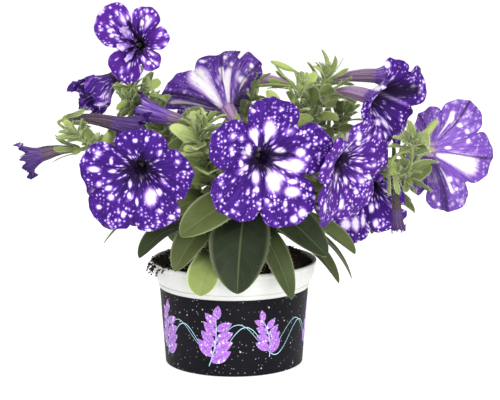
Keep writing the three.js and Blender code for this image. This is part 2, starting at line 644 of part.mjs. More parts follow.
// Calyx behind a corolla and the stalk that carries both, as one closed skin
function makeCalyx(bloom, stem) {
  const line = tubeLine(bloom);
  const seat = line.getPoint(1);
  const away = line.getTangent(1);
  const { right } = bloomAxes(bloom);
  const other = new THREE.Vector3().crossVectors(away, right).normalize();
  const across = new THREE.Vector3().crossVectors(other, away).normalize();
  const spot = (degrees, radius, back) => seat.clone()
    .addScaledVector(across, radius * Math.cos(degrees * DEGREE))
    .addScaledVector(other, radius * Math.sin(degrees * DEGREE))
    .addScaledVector(away, back);
  const skin = new Skin();
  const top = FIT_GAP;
  const turn = 360 / SEPALS;
  const rim = [];
  const floor = [];
  for (let sepal = 0; sepal < SEPALS; sepal++) {
    const middle = turn * sepal;
    const uneven = SEPAL_UNEVEN * Math.sin(3 * sepal + bloom.at[1]);
    const spread = (bloom.spread ?? SEPAL_SPREAD) * (1 + uneven);
    const root = skin.ring([
      spot(middle - SEPAL_ROOT_TURN, CUP_RADIUS, top),
      spot(middle + SEPAL_ROOT_TURN, CUP_RADIUS, top),
      spot(middle, CUP_FLOOR_RADIUS, top),
    ]);
    const side = spot(middle + 90, 1, 0).sub(seat).multiplyScalar(SEPAL_WIDTH / 2);
    const radius = CUP_RADIUS + 0.6 * spread;
    const wide = spot(middle, radius, top - SEPAL_WIDEST * SEPAL_LENGTH);
    const blade = skin.ring([
      wide.clone().sub(side),
      wide.clone().add(side),
      spot(middle, radius - BLADE_THICKNESS, top - SEPAL_WIDEST * SEPAL_LENGTH),
    ]);
    skin.band(root, blade);
    skin.fan(blade, spot(middle, CUP_RADIUS + spread, top - SEPAL_LENGTH));
    rim.push(root[0], root[1]);
    floor.push(root[2]);
  }
  for (let sepal = 0; sepal < SEPALS; sepal++) {
    const next = (sepal + 1) % SEPALS;
    skin.faces.push([floor[sepal], rim[2 * sepal + 1], rim[2 * next]]);
    skin.faces.push([floor[sepal], rim[2 * next], floor[next]]);
  }
  skin.lid(floor);
  const foot = seat.clone().addScaledVector(away, CUP_LENGTH);
  skin.stalk([...rim].reverse(), stalkLine(stem, bloom.along, foot, away), across);
  return skin.solid();
}

// Line of a slim stalk from a foot, which it leaves along a direction, down to its stem
function stalkLine(stem, along, foot, away) {
  const line = stemLine(stem);
  const place = along ?? nearestAlong(line, foot);
  const end = line.getPoint(place);
  const reach = end.distanceTo(foot) * 0.4;
  const bend = end.clone().addScaledVector(line.getTangent(place), reach * 0.6)
    .addScaledVector(UP, reach * 0.4);
  const leave = foot.clone().addScaledVector(away, reach);
  return new THREE.CubicBezierCurve3(foot, leave, bend, end);
}

// Place along a stem's line that lies nearest to a point, kept off its foot
function nearestAlong(line, point) {
  let best = STALK_LOWEST;
  for (let along = STALK_LOWEST; along <= STALK_HIGHEST; along += 0.02) {
    if (line.getPoint(along).distanceTo(point) < line.getPoint(best).distanceTo(point)) {
      best = along;
    }
  }
  return best;
}

function makeBud(stem, { along, foot, tip, radius }) {
  const skin = new Skin();
  const line = new THREE.LineCurve3(vector(foot), vector(tip));
  const axis = line.getTangent(0);
  const across = new THREE.Vector3().crossVectors(axis, UP).normalize();
  const other = new THREE.Vector3().crossVectors(across, axis);
  const rings = BUD_RINGS.map(([share, part]) => (
    skin.ring(circle(line.getPoint(share), across, other, part * radius, BUD_SIDES))
  ));
  skin.band(rings[0], rings[1]);
  skin.fan(rings[1], vector(tip));
  skin.stalk([...rings[0]].reverse(), stalkLine(stem, along, vector(foot), axis.clone().negate()), across);
  return skin.solid();
}

function makeLargeLeaf(stem, leaf) {
  const root = stemLine(stem).getPoint(leaf.along);
  const tip = vector(leaf.tip);
  return makeBlade({
    root, tip, width: leaf.width, arch: leaf.arch, hint: UP, roll: leaf.roll, rootWidth: LARGE_ROOT_WIDTH,
    outline: LARGE_OUTLINE, fold: LARGE_FOLD, keeled: false,
  });
}

// Small leaf by rule: they wind up the stem, shorter and steeper to the tip. A try shifts it a little.
function smallLeaf(stem, stemIndex, leafIndex, tries) {
  const roll = dice(1000 * stemIndex + 20 * leafIndex + tries + 7);
  const line = stemLine(stem);
  const share = (leafIndex + 0.5) / stem.leaves;
  const place = LEAF_START + LEAF_SPAN * share ** LEAF_CROWDING;
  const root = line.getPoint(place);
  const tangent = line.getTangent(place);
  const across = new THREE.Vector3().crossVectors(tangent, new THREE.Vector3(1, 0, 0)).normalize();
  const other = new THREE.Vector3().crossVectors(tangent, across);
  const turn = (GOLDEN_ANGLE * leafIndex + (roll() - 0.5) * (20 + 24 * tries)) * DEGREE;
  const outward = across.multiplyScalar(Math.cos(turn)).addScaledVector(other, Math.sin(turn));
  const [low, high] = LEAF_PITCHES;
  const pitch = (low + (high - low) * share + (roll() - 0.5) * (14 + 10 * tries)) * DEGREE;
  const [long, short] = LEAF_LENGTHS;
  const length = (long - (long - short) * share ** 0.8) * (0.86 + 0.28 * roll()) * (1 - 0.05 * tries);
  const direction = outward.multiplyScalar(Math.cos(pitch)).addScaledVector(tangent, Math.sin(pitch))
    .addScaledVector(UP, 0.12).normalize();
  const tip = root.clone().addScaledVector(direction, length);
  const outside = new THREE.Vector3(root.x, root.y - LEAF_CENTRE_Y, 0).normalize();
  const hint = tangent.clone().multiplyScalar(0.3).addScaledVector(UP, 0.55).addScaledVector(outside, 0.7);
  return {
    root, tip, width: (0.56 - 0.2 * share) * length, arch: (0.1 + 0.12 * roll()) * length, hint,
    roll: (roll() - 0.5) * 50, rootWidth: LEAF_ROOT_WIDTH,
  };
}

// True when a solid keeps a clearance from every obstacle
function isClear(solid, obstacles, clearance) {
  const box = solid.boundingBox();
  return obstacles.every(({ solid: other, box: near }) => {
    const apart = [0, 1, 2].some((axis) => (
      box.min[axis] > near.max[axis] + clearance || near.min[axis] > box.max[axis] + clearance
    ));
    return apart || solid.minGap(other, 2 * clearance) >= clearance;
  });
}

const withBox = (solid) => ({ solid, box: solid.boundingBox() });

function meshOf(name, solid, [colour, roughness]) {
  const { numProp, vertProperties, triVerts } = mainBody(solid.simplify(FINISH_TOLERANCE)).getMesh();
  if (numProp !== 3) {
    throw new Error(`${name} has ${numProp} values a vertex`);
  }
  const geometry = new THREE.BufferGeometry();
  geometry.setAttribute("position", new THREE.BufferAttribute(vertProperties, 3));
  geometry.setIndex(new THREE.BufferAttribute(triVerts, 1));
  geometry.computeVertexNormals();
  const mesh = new THREE.Mesh(geometry, new THREE.MeshStandardMaterial({ color: colour, roughness }));
  mesh.name = name;
  return mesh;
}

function makePlant() {
  const plant = new THREE.Group();
  const pot = makePot();
  const sleeve = makeSleeve();
  const soil = makeSoil();
  plant.add(meshOf("pot", pot, COLOURS.pot));
  plant.add(meshOf("pot_sleeve", sleeve, COLOURS.sleeve));
  plant.add(meshOf("soil", soil, COLOURS.soil));

  const corollas = BLOOMS.map(makeCorolla);
  BLOOMS.forEach((bloom, index) => plant.add(meshOf(bloom.name, corollas[index], COLOURS.petal)));

  // Each stem's rod, and what grows from it
  const rods = STEMS.map((stem) => withBox(makeStem(stem)));
  const grown = STEMS.map((stem) => [
    ...BLOOMS.filter((bloom) => bloom.stem === stem.name).map((bloom) => withBox(makeCalyx(bloom, stem))),
    ...BUDS.filter((bud) => bud.stem === stem.name).map((bud) => withBox(makeBud(stem, bud))),
  ]);
  const fixed = [pot, sleeve, soil, ...corollas].map(withBox);
  const grow = (index, solid) => {
    const others = STEMS.flatMap((_, other) => (other === index ? [] : [rods[other], ...grown[other]]));
    const clear = isClear(solid, [...fixed, ...others], LEAF_CLEARANCE)
      && isClear(solid, grown[index], OWN_CLEARANCE);
    if (clear) {
      grown[index].push(withBox(solid));
    }
    return clear;
  };
  LARGE_LEAVES.forEach((leaf, order) => {
    const index = STEMS.findIndex((stem) => stem.name === leaf.stem);
    if (!grow(index, makeLargeLeaf(STEMS[index], leaf))) {
      throw new Error(`large leaf ${order} of ${leaf.stem} does not fit`);
    }
  });
  STEMS.forEach((stem, index) => {
    for (let leaf = stem.leaves - 1; leaf >= 0; leaf--) {
      for (let tries = 0; tries < TRIES; tries++) {
        if (grow(index, makeBlade(smallLeaf(stem, index, leaf, tries)))) {
          break;
        }
      }
    }
  });
  STEMS.forEach((stem, index) => {
    const whole = grown[index].reduce((sum, { solid }) => sum.add(solid), rods[index].solid);
    plant.add(meshOf(`stem_${stem.name}`, whole, COLOURS.green));
  });
  return plant;
}

export default makePlant();
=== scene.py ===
# Potted trailing petunia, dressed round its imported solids.
# Sizes are in millimetres in the part's own frame, +Z up with the front facing -Y, and each mesh is
# turned to metres when it is made. The camera, the lamps and the floor are placed in metres. Every draw
# of chance comes from a seeded generator.
import math

import bpy
import numpy as np
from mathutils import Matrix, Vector, noise
from mathutils.bvhtree import BVHTree
from mathutils.kdtree import KDTree


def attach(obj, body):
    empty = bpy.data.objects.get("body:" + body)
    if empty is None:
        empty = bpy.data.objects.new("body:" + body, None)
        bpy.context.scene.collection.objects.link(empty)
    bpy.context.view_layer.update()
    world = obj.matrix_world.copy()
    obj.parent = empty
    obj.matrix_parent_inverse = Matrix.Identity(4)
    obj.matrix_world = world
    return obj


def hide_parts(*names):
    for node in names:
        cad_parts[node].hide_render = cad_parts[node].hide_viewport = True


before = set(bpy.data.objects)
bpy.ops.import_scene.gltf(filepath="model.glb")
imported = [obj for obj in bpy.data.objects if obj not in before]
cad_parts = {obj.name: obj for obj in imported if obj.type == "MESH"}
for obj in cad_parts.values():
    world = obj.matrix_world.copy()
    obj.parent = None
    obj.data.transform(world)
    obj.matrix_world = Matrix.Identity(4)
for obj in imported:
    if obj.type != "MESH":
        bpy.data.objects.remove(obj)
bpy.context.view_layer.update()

MM = 0.001
DEGREE = math.pi / 180
TURN = 2 * math.pi
GOLDEN_ANGLE = 137.5
UP = np.array([0.0, 0.0, 1.0])
BODY = "root"

# Camera: 500 pixels stand for the width of its frame
CAMERA_PLACE = (0.0116, -1.150, 0.311)
CAMERA_PITCH = 9.5
FRAME_WIDTH = 500
FOCAL_PIXELS = 1617
SENSOR_WIDTH = 36

# Light of the white surround as the camera sees it and as it falls on things, and of the floor itself
WORLD_SEEN = 1.06
WORLD_LIGHT = 0.72
FLOOR_GLOW = 0.62
# Lamps by name: place, size and power
LAMP_TARGET = (0, 0, 0.14)
LAMPS = {
    "key": ((-0.5, -1.2, 1.8), 1.1, 17),
    "fill": ((0.55, -1.65, 0.4), 1.2, 26),
    "back": ((0.5, 1.2, 1.5), 1.0, 8),
}
# The floor, large enough to fill every view
FLOOR_CORNERS = [(-6, -4, 0), (6, -4, 0), (6, 9, 0), (-6, 9, 0)]

# Pot and sleeve
TURN_STEPS = 144
POT_WALL = 1.4
POT_FLOOR = 1.8
POT_BASE_RADIUS = 48.9
POT_SHOULDER_RADIUS = 53.0
POT_SHOULDER_HEIGHT = 56.6
POT_RIM_RADIUS = 60
POT_HEIGHT = 75.8
# The collar from its foot up and over the rim to its inside: how far in from the rim, and height
COLLAR = [
    (5.1, 59.4), (5.6, 59.9), (5.4, 60.5), (4.1, 60.8), (3.0, 63.2), (2.1, 65.6), (1.4, 68.4), (1.1, 70.9),
    (1.1, 72.4), (0.2, 72.9), (0, 73.4), (0, POT_HEIGHT - 0.7), (0.3, POT_HEIGHT - 0.15), (0.9, POT_HEIGHT),
    (1.7, POT_HEIGHT), (2.1, POT_HEIGHT - 0.5), (2.6, 69.6), (5.8, 61.4),
]
SHARP_EDGE = 40
DRAIN_HOLES = 6
DRAIN_RADIUS = 4
DRAIN_CIRCLE = 34
DRAIN_SIDES = 24
DRAIN_MARGIN = 3
FIT_GAP = 0.3
SLEEVE_THICKNESS = 0.7
SLEEVE_BOTTOM = 1.0
SLEEVE_TOP = 56.2
SLEEVE_ROWS = 9

# Print on the sleeve. Sprigs: how far round, foot height, size and lean
PRINT_LIFT = 0.06
SPRIGS = [(-18, 8, 1.0, 10), (27, 14, 0.78, -12), (74, 8, 1.0, 8), (121, 14, 0.8, -10), (-152, 8, 1.0, 10),
          (-108, 14, 0.8, -10), (-62, 9, 0.95, 9)]
SPRIG_LEAVES = 9
SPRIG_HEIGHT = 34
SPRIG_BEND = 2.2
SPRIG_STALK = 0.28
SPRIG_LEAF_LENGTH = 17
SPRIG_LEAF_WIDTH = 8.4
SPRIG_LEAF_SPREAD = 52
SPRIG_STEPS = 24
SPRIG_LEAF_GRID = (12, 7)
# Thin lines that wave round the sleeve: height, swing, waves, phase and half width
WAVES = [(26, 11, 7, 0.4, 0.3), (30, 9, 7, 1.1, 0.22)]
WAVE_STEPS = 300

# Soil, with the radius and height of its side from the edge down, and the crumbs and roots on it
SOIL_EDGE_HEIGHT = 72.5
SOIL_MOUND_HEIGHT = 85
SOIL_RELIEF = 0.7
SOIL_ROUGHNESS = 1.3
SOIL_RADIUS = 57.0
SOIL_SIDE = [(SOIL_RADIUS, SOIL_EDGE_HEIGHT), (53.7, 61.4), (51.2, POT_SHOULDER_HEIGHT), (47.1, 2.1)]
SOIL_ROWS = 46
SOIL_COLUMNS = 150
CRUMBS = 1500
CRUMB_SIZES = (0.4, 1.5)
SPILL_TURN = math.pi + 0.35
SPILL_CRUMBS = 130
SPILL_ROOTS = 14
LYING_ROOTS = 34
ROOT_STEPS = 14
ROOT_STEP = 1.5

# Stems
STEM_DEPTH = 17
STEM_RADIUS = 1.9
STEM_TIP_RADIUS = 1.0
STALK_RADIUS = 1.0
STALK_LOWEST = 0.3
STALK_HIGHEST = 0.96

# Corolla
THROAT_RADIUS = 5.2
THROAT_FOOT_DEPTH = 8
THROAT_FOOT_RADIUS = 2.9
THROAT_POINT_DEPTH = 12
NOTCH_SHARPNESS = 2.6
NOTCH_CUT = 4.5
NOTCH_WIDTH = 0.09
PETAL_THICKNESS = 0.9
OVERLAP = 1.3
EDGE_RAGGEDNESS = 0.013
MIDRIB_POINT = 0.035
CLOSE_START = 0.4
CLOSE_PULL = 0.62
CLOSE_RISE = 6
PUSH_SPOTS = (Vector((3, 41, 7)), Vector((17, 5, 29)), Vector((53, 11, 2)))
TUBE_DROOP = 0.16
TUBE_BASE_RADIUS = 1.9
TUBE_PROFILE = ((0, 0.2, 0.5, 1), (THROAT_RADIUS, 5.0, 4.0, TUBE_BASE_RADIUS))
PETALOID_RISE = 14
PETALOID_RUFFLE = 2.2
ANTHERS = 5
STAMENS_UNTIL = 0.3

# Marks on the petals
SPECK_ROUND = 26
STROKE_END = 0.45
WEDGE_START = 0.22
CREASE_SHADE = 0.7
SPOT_ROUNDS = 8

# Fineness of the blooms: columns a lobe and rows of the limb, also for one whose lobes are all shorter than
# the small reach, and rows of the throat and the tube
LIMB_GRID = (30, 30)
SMALL_LIMB_GRID = (14, 14)
SMALL_REACH = 16
THROAT_ROWS = 9
TUBE_ROWS = 14

# Calyx
SEPALS = 5
CUP_LENGTH = 4.5
CUP_RADIUS = 3.4
CUP_BACKS = (-1.2, FIT_GAP, 1.8, 3.2, CUP_LENGTH)
CUP_RADII = (3.9, CUP_RADIUS, 3.3, 2.3, 0.9)
SEPAL_LENGTH = 15
SEPAL_WIDTH = 4
SEPAL_UNEVEN = 0.36
SEPAL_OUTLINE = ((0, 0.2, 0.5, 0.72, 0.9, 1), (0.62, 0.55, 0.85, 1.05, 0.72, 0.05))
BUD_OUTLINE = ((0, 0.1, 0.28, 0.5, 0.7, 0.9, 1), (0.45, 0.75, 1, 1, 0.85, 0.5, 0.05))

# Where the small leaves stand and how long they are, as in the part's source
LEAF_START = 0.3
LEAF_SPAN = 0.69
LEAF_CROWDING = 0.62
LEAF_LENGTHS = (42, 21)
LEAF_PITCHES = (18, 60)
LEAF_CENTRE_Y = 30
LEAF_TRIES = 10
LEAF_MATCH = 0.25
SMALL_SLIM = 0.88

# Blades: half width at the root, fold, the powers of the outline, rows and columns, thickness and wave;
# for green ones also how large they look to the material, which sets how deep the painted shade at their
# foot is, and how many hairs they have on a millimetre
LARGE = dict(foot=1.1, fold=0.26, form=(0.82, 0.64), grid=(40, 21), thick=0.6, wave=0.035, size=1, fuzz=0.7)
LARGE_ROUND = {**LARGE, "form": (2.2, 0.55)}
SMALL = dict(foot=0.6, fold=0.45, form=(0.8, 0.5), grid=(15, 9), thick=0.6, wave=0.05, size=0.5, fuzz=3.4)
TINY = dict(foot=0.4, fold=0.55, form=(1.05, 0.45), grid=(8, 7), thick=0.48, wave=0.04, size=0.35, fuzz=3.4)
SEPAL = dict(grid=(12, 7), thick=0.6, size=0.3, fuzz=3.5)
PETALOID = dict(foot=1.2, fold=0.5, form=(1.2, 0.3), grid=(20, 13), thick=0.6, wave=0.3)

# Tufts: pitch of the outermost and of the innermost leaf, and the least and most width in a length
SIDE_TUFT = (28, 80, 0.27, 0.4)
END_TUFT = (38, 86, 0.19, 0.3)
END_TUFT_LEAVES = 14
# A large leaf that looks younger than this is round and yellow, and so far green at its foot
YELLOW_FROM = 0.5
YELLOW_FOOT = 0.04

# Rods: places along them and sides
STEM_GRID = (48, 12)
STALK_GRID = (20, 8)
BUD_GRID = (14, 14)
CUP_SIDES = 16

# Hairs: lengths, width, how many on a millimetre of a stalk and of a bud, and the places and sides of a
# tube where they grow
HAIR_LENGTHS = (0.8, 2.3)
HAIR_WIDTH = 0.09
STALK_HAIRS = 7
BUD_HAIRS = 14
TUBE_HAIR_SPAN = (0.15, 0.95)
TUBE_HAIR_GRID = (12, 12)

# Seeds of chance: the first of each run where it counts on
CRUMB_SEED = 71
SPILL_SEED = 33
ROOT_SEED = 12
HAIR_SEED = 400
SIDE_TUFT_SEED = 5000
END_TUFT_SEED = 9000
TUFT_SEED = 9500

# Colours as linear red, green and blue, from the darker to the lighter of a pair
PETAL = dict(
    # The last colour here, a lighter, redder violet, is partly painted light on some blooms
    deep=((0.019, 0.003, 0.078), (0.034, 0.006, 0.145)), streak=(0.055, 0.01, 0.2), warm=(0.09, 0.016, 0.25),
    # The first colour here is painted shade where one lobe overlaps the next
    notch=(0.018, 0.003, 0.07), near=(0.02, 0.005, 0.075), lilac=(0.25, 0.105, 0.54),
    # The last colour here, near black, is painted shade of the deep throat, folds and lobes in shadow
    white=(0.85, 0.75, 0.93), vein=(0.012, 0.003, 0.05), throat=(0.007, 0.002, 0.018),
    wilted=(0.05, 0.02, 0.14),
)
PETAL_BACK = dict(
    # The last colour here is painted light that makes the backs of some blooms lighter
    ground=((0.085, 0.024, 0.27), (0.27, 0.14, 0.54)), edge=(0.11, 0.034, 0.34), warm=(0.34, 0.17, 0.64),
    lilac=(0.6, 0.42, 0.84), white=(1.0, 0.93, 1.0), rib=(0.04, 0.012, 0.06), net=(0.08, 0.025, 0.2),
    shade=(0.045, 0.02, 0.12), fresh_tube=((0.16, 0.065, 0.19), (0.54, 0.38, 0.55)),
    old_tube=((0.01, 0.006, 0.008), (0.11, 0.08, 0.085)), faded=((0.01, 0.004, 0.026), (0.105, 0.058, 0.18)),
    faded_edge=(0.045, 0.012, 0.14),
)
LEAF = dict(
    # The first colours here, the large leaves' dark green, are darkened further by painted shade of blooms
    # above
    old_and_painted_shade=((0.0045, 0.0085, 0.0055), (0.02, 0.031, 0.0175)), fresh=((0.32, 0.43, 0.1), (0.57, 0.67, 0.22)),
    # The first colour here partly paints light on shaded shoots, and the last is painted shade at a blade's
    # foot
    freshest_and_painted_light=(0.76, 0.86, 0.38), tone=(0.1, 0.14, 0.04), under=(0.17, 0.22, 0.1), foot=(0.14, 0.15, 0.13),
    side_vein=(0.16, 0.21, 0.09), rib=(0.24, 0.29, 0.13), rim=(0.6, 0.66, 0.38),
)
HAIR = ((0.42, 0.48, 0.29), (0.72, 0.75, 0.62))
# The anthers' and stigma's colours, darkened with painted shade of the deep throat
ANTHER = ((0.04, 0.045, 0.02), (0.13, 0.125, 0.07))
POT_WHITE = ((0.59, 0.6, 0.575), (0.655, 0.66, 0.635))
SLEEVE_BLACK = ((0.003, 0.003, 0.0045), (0.008, 0.008, 0.012))
SLEEVE_FLECK = (0.62, 0.6, 0.72)
PRINT_LILAC = ((0.26, 0.085, 0.46), (0.46, 0.2, 0.68))
PRINT_FLECK = (0.84, 0.74, 0.92)
PRINT_RIB = (0.07, 0.02, 0.16)
PRINT_BLUE = (0.42, 0.74, 0.84)
SOIL_BROWN = ((0.004, 0.003, 0.002), (0.045, 0.03, 0.02))
CRUMB_BROWN = (0.05, 0.032, 0.02)
ROOT_TAN = ((0.16, 0.11, 0.06), (0.36, 0.28, 0.18))
FLOOR_GREY = ((0.6, 0.6, 0.6), (0.62, 0.62, 0.62))
WHITE = (1, 1, 1, 1)

# The blooms, as in the part's source, each over the values of a plain one. fade is how far it has wilted,
# from 0 to 1, and shade how far its colour has, where that isn't the same. crease is how deep its creases
# are and how dark the painted shade in their valleys, where that isn't twice its fade, crumple how far its
# limb is pushed about, rear how pale and veined its limb's back is, then how warm its violet is: how red,
# and how much lighter painted light makes it, and blotches how many white blotches are drawn on it where
# the table of blotches has none.
PLAIN_BLOOM = dict(curl=1.5, tube=32, close=0, spread=7, fade=0, slim=1, petaloids=[], crumple=0, rear=1,
                   warm=0, blotches=26)
BLOOMS = [{**PLAIN_BLOOM, **bloom} for bloom in [
    dict(name="bloom_front_left", stem="left_low", at=(-62.5, -72, 152.5), az=-5, el=-12, depth=14,
         lobes=[(0, 37, 30), (82, 32, 27), (170, 38.5, 34.5), (233, 43, 38), (292, 42.5, 33)], wave=1.6),
    dict(name="bloom_front_centre", stem="centre", at=(19.6, -85, 161.1), az=20, el=-8, depth=14,
         lobes=[(14, 45, 34), (88, 44, 31.5), (152, 45, 31), (224, 45, 37), (302, 48, 33)], wave=2.2),
    dict(name="bloom_front_right", stem="right_low", at=(71.5, -60, 155.4), az=52, el=-18, depth=14,
         lobes=[(20, 39, 34), (95, 37, 33), (160, 36, 30), (238, 44, 38), (300, 44, 36)], wave=2.6, warm=0.9),
    dict(name="bloom_right_low", stem="right_low", at=(97, -14.5, 132), az=-8, el=-34, depth=13,
         lobes=[(18, 25, 22), (92, 23, 20), (168, 26, 24), (240, 51, 34), (300, 36, 26)], wave=1.8),
    dict(name="bloom_right_top", stem="right_top", at=(95.5, -25, 195.6), az=49, el=-12, depth=21,
         lobes=[(30, 36, 29), (100, 32, 25), (172, 31, 27), (242, 33, 28), (312, 36, 30)], wave=2.8),
    dict(name="bloom_far_right", stem="right", at=(142.2, 0, 154.9), az=135, el=-14, depth=19,
         lobes=[(40, 40, 33), (106, 41, 33), (180, 41, 32), (258, 42, 34), (324, 41, 34)], wave=1.8,
         warm=0.6),
    dict(name="bloom_top_left", stem="left_top", at=(-67.6, -12, 231.1), az=-8, el=4, depth=9,
         lobes=[(14, 24.5, 22), (65, 28, 21.5), (130, 34, 14), (257, 27, 17), (318, 22.5, 16)], wave=1.5,
         petaloids=[(122, 15, 6.5), (196, 11, 7.5), (250, 13, 5.5)], warm=1),
    dict(name="bloom_back_centre", stem="centre_left", at=(-5.6, 12, 184.5), az=216.5, el=40, depth=20,
         lobes=[(0, 46, 36), (72, 43, 33), (140, 38, 32), (212, 42, 33), (288, 36, 32)], wave=2, tube=24,
         rear=0.85),
    dict(name="bloom_back_left", stem="back_left", at=(-76, 48, 124), az=-132, el=-4, depth=14,
         lobes=[(18, 37, 31), (90, 38, 31), (162, 37, 30), (234, 39, 31), (306, 38, 31)], wave=2),
    dict(name="bloom_back_middle", stem="back_centre", at=(12, 84, 134), az=184, el=-6, depth=14,
         lobes=[(12, 41, 34), (84, 40, 33), (158, 42, 33), (231, 43, 34), (302, 42, 34)], wave=2.2),
    dict(name="bloom_back_right", stem="back_right", at=(80, 60, 122), az=150, el=-6, depth=14,
         lobes=[(20, 38, 32), (92, 38, 31), (166, 39, 32), (236, 40, 32), (306, 38, 31)], wave=1.8),
    dict(name="bloom_left_crumpled", stem="left_top", at=(-87, 2, 205), az=-50, el=-30, depth=22,
         lobes=[(10, 23, 18), (84, 21, 17), (158, 25, 17), (232, 25, 18), (304, 22, 17)], wave=3.4, curl=-1,
         tube=22, close=0.5, spread=10, fade=0.15, crease=0.5, rear=0.1, crumple=3.6, blotches=13),
    dict(name="spent_bloom_left", stem="left_low", at=(-80, -38, 178), az=84, el=-14, depth=20,
         lobes=[(0, 10, 8), (76, 14, 9), (150, 12, 8), (222, 11, 8), (292, 15, 9)], wave=1.6, tube=36,
         spread=4.2, fade=0.85),
    dict(name="wilted_bloom_left", stem="centre_left", at=(-47, -19, 181), az=-96, el=14, depth=22,
         lobes=[(0, 10, 8), (76, 13, 9), (150, 13, 9), (222, 12, 8), (292, 10, 8)], wave=1.4, tube=22,
         fade=0.7, shade=0.35),
    dict(name="spent_bloom_far_left", stem="left_low", at=(-135, -34, 156), az=-88, el=-18, depth=12,
         lobes=[(0, 11, 8), (76, 13, 9), (150, 11, 8), (226, 13, 9), (300, 15, 8)], wave=1.4, tube=26,
         spread=6, fade=0.8),
    dict(name="spent_bloom_right", stem="right", at=(112, -62, 119), az=70, el=-84, depth=12,
         lobes=[(0, 5, 4.2), (76, 5.4, 4.6), (150, 4.8, 4.2), (222, 5.2, 4.4), (292, 5, 4.2)], wave=0.6,
         tube=34, slim=0.66, spread=2.6, fade=1.0, crease=0.9),
    dict(name="bloom_right_back", stem="right_top", at=(104, 34, 205), az=96, el=-4, depth=11,
         lobes=[(0, 13, 11), (72, 13, 10), (144, 12, 10), (216, 13, 10), (288, 13, 11)], wave=1.2, tube=34,
         fade=0.4),
    dict(name="bloom_back_top", stem="back_centre", at=(14, 64, 199), az=-104, el=-4, depth=16,
         lobes=[(0, 25, 20), (72, 24, 20), (144, 25, 21), (216, 26, 21), (288, 25, 20)], wave=1.6, tube=28),
]]
for bloom in BLOOMS:
    bloom.setdefault("shade", bloom["fade"])
    bloom.setdefault("crease", 2 * bloom["fade"])

# White blotches as the camera sees them, from the bloom's throat: across, up, width and height
BLOTCHES = {
    "bloom_front_left": [
        (7.3, -19.7, 8.7, 13.3), (-6.7, -10.7, 2.7, 6), (-31, -1, 9.3, 4), (-18, -2, 4.7, 2.7),
        (-19.3, 4.7, 2.7, 5.3), (-21, -13.3, 6, 4), (-19.6, -19.7, 4.7, 4.7), (-7.3, -18.7, 3.3, 5.3),
        (-2, -22.7, 2, 6), (-11.3, -31.3, 3.3, 5.3), (13.3, -16, 4, 6), (21.3, -33.3, 5.3, 4),
        (4.7, 19.6, 2.7, 4), (-3, 19, 3.3, 3.3), (0.7, -6.3, 2.5, 3.5), (-27.7, -26.3, 4, 3.3),
        (6, -42, 4, 3),
    ],
    "bloom_front_centre": [
        (5.2, 19.2, 9, 11.7), (-5.8, 16.5, 7.1, 8.4), (-9.1, 5.2, 4.5, 9), (-2, 5.2, 2.6, 3.9),
        (11.7, 5.2, 7.8, 4.5), (25.6, 3.6, 7.1, 6.5), (21.8, -4.9, 13.6, 9.7), (-4.5, -12.3, 5.2, 11),
        (7.8, -15.6, 11, 16.2), (20.1, -15.6, 7.8, 3.9), (20.1, -22.7, 11, 7.8), (-3.9, -20.8, 3.2, 4.5),
        (-11, -6.5, 3.9, 3.9), (-14.6, -3.2, 3.2, 5.2), (27.3, -37, 5.8, 6.5), (21.4, -40.9, 5.8, 5.2),
        (15.6, -30.8, 3.2, 5.2), (-20, 3.4, 3, 4.5), (27.7, 17.5, 3, 3), (32.5, -20.8, 2.6, 3),
    ],
    "bloom_front_right": [
        (13.3, 17.3, 4, 8), (6.7, -14, 4, 5.3), (12.7, -21.3, 3.3, 4), (20, -10.3, 4, 4), (2, -29.3, 4, 8),
        (-8.7, -31.3, 2.7, 8), (-1.3, -10.7, 2, 6.7), (4.7, 8, 4, 3), (12.7, 12.7, 4, 3),
    ],
    "bloom_right_low": [
        (-2.8, -7, 4.9, 8.3), (1, -15, 4.2, 6.3), (-10.4, -28, 5.6, 11.8), (-17.4, -28.5, 7.6, 8.3),
        (-4.9, -25, 3.5, 9.7), (4.2, -25.7, 4.2, 7),
    ],
    "bloom_right_top": [
        (13, 22.2, 5.6, 5.6), (3.1, 6.9, 4.2, 9.7), (4.2, -18, 3.5, 7), (8.3, -27, 3.5, 7),
        (9.7, -18, 4.9, 7),
    ],
    "bloom_far_right": [
        (14.5, 23, 4, 8), (20.5, 17.5, 4.5, 3.2), (25, 13.5, 3.6, 3.4), (26, 6.5, 3.2, 3.6),
        (12, 1.5, 5, 2.6), (13, -21, 3.6, 4.4), (1.5, -34, 2.6, 3.6), (5.5, -39, 2.6, 3), (18, -28, 2.6, 3),
    ],
    "bloom_top_left": [
        (-19, 10, 4.2, 3.5), (-17.7, 6.4, 4, 3), (3.5, 15.5, 3, 5.7), (7, 19, 3, 4.2), (-24.7, 24, 3, 3),
        (8.5, -12.7, 3.5, 3),
    ],
    "bloom_back_centre": [
        (12, 19, 7, 5.5), (18.5, 29.5, 3, 3.5), (4, 31, 3, 3.4), (-1.5, 37, 4, 3), (-17, 33, 5, 2.6),
        (-31, 11.5, 2.6, 2.2), (16, 12, 2.4, 2.4),
    ],
}

# White wedges that widen outwards, as the camera sees them: start, end and half width at the end
WEDGES = {
    "bloom_front_centre": [
        (4, -7, 8.5, -18, 4.6), (8, -3, 22, -5.5, 4.6), (2, 10, 5.5, 20, 4), (-4, 9, -6, 17, 3.2),
    ],
    "bloom_far_right": [(5, -4, 26, -10.5, 7.6), (6, 12, 15, 26, 2.4), (6, -12, 15, -30, 1.5)],
    "bloom_back_centre": [
        (-5, 2.5, -20, 22, 7.4), (-2.5, 7, 1, 24, 4.4), (-2, 14, -4, 28, 2.2), (-10, -1, -38, 4, 3),
        (7, 5, 13, 18, 2.4),
    ],
}
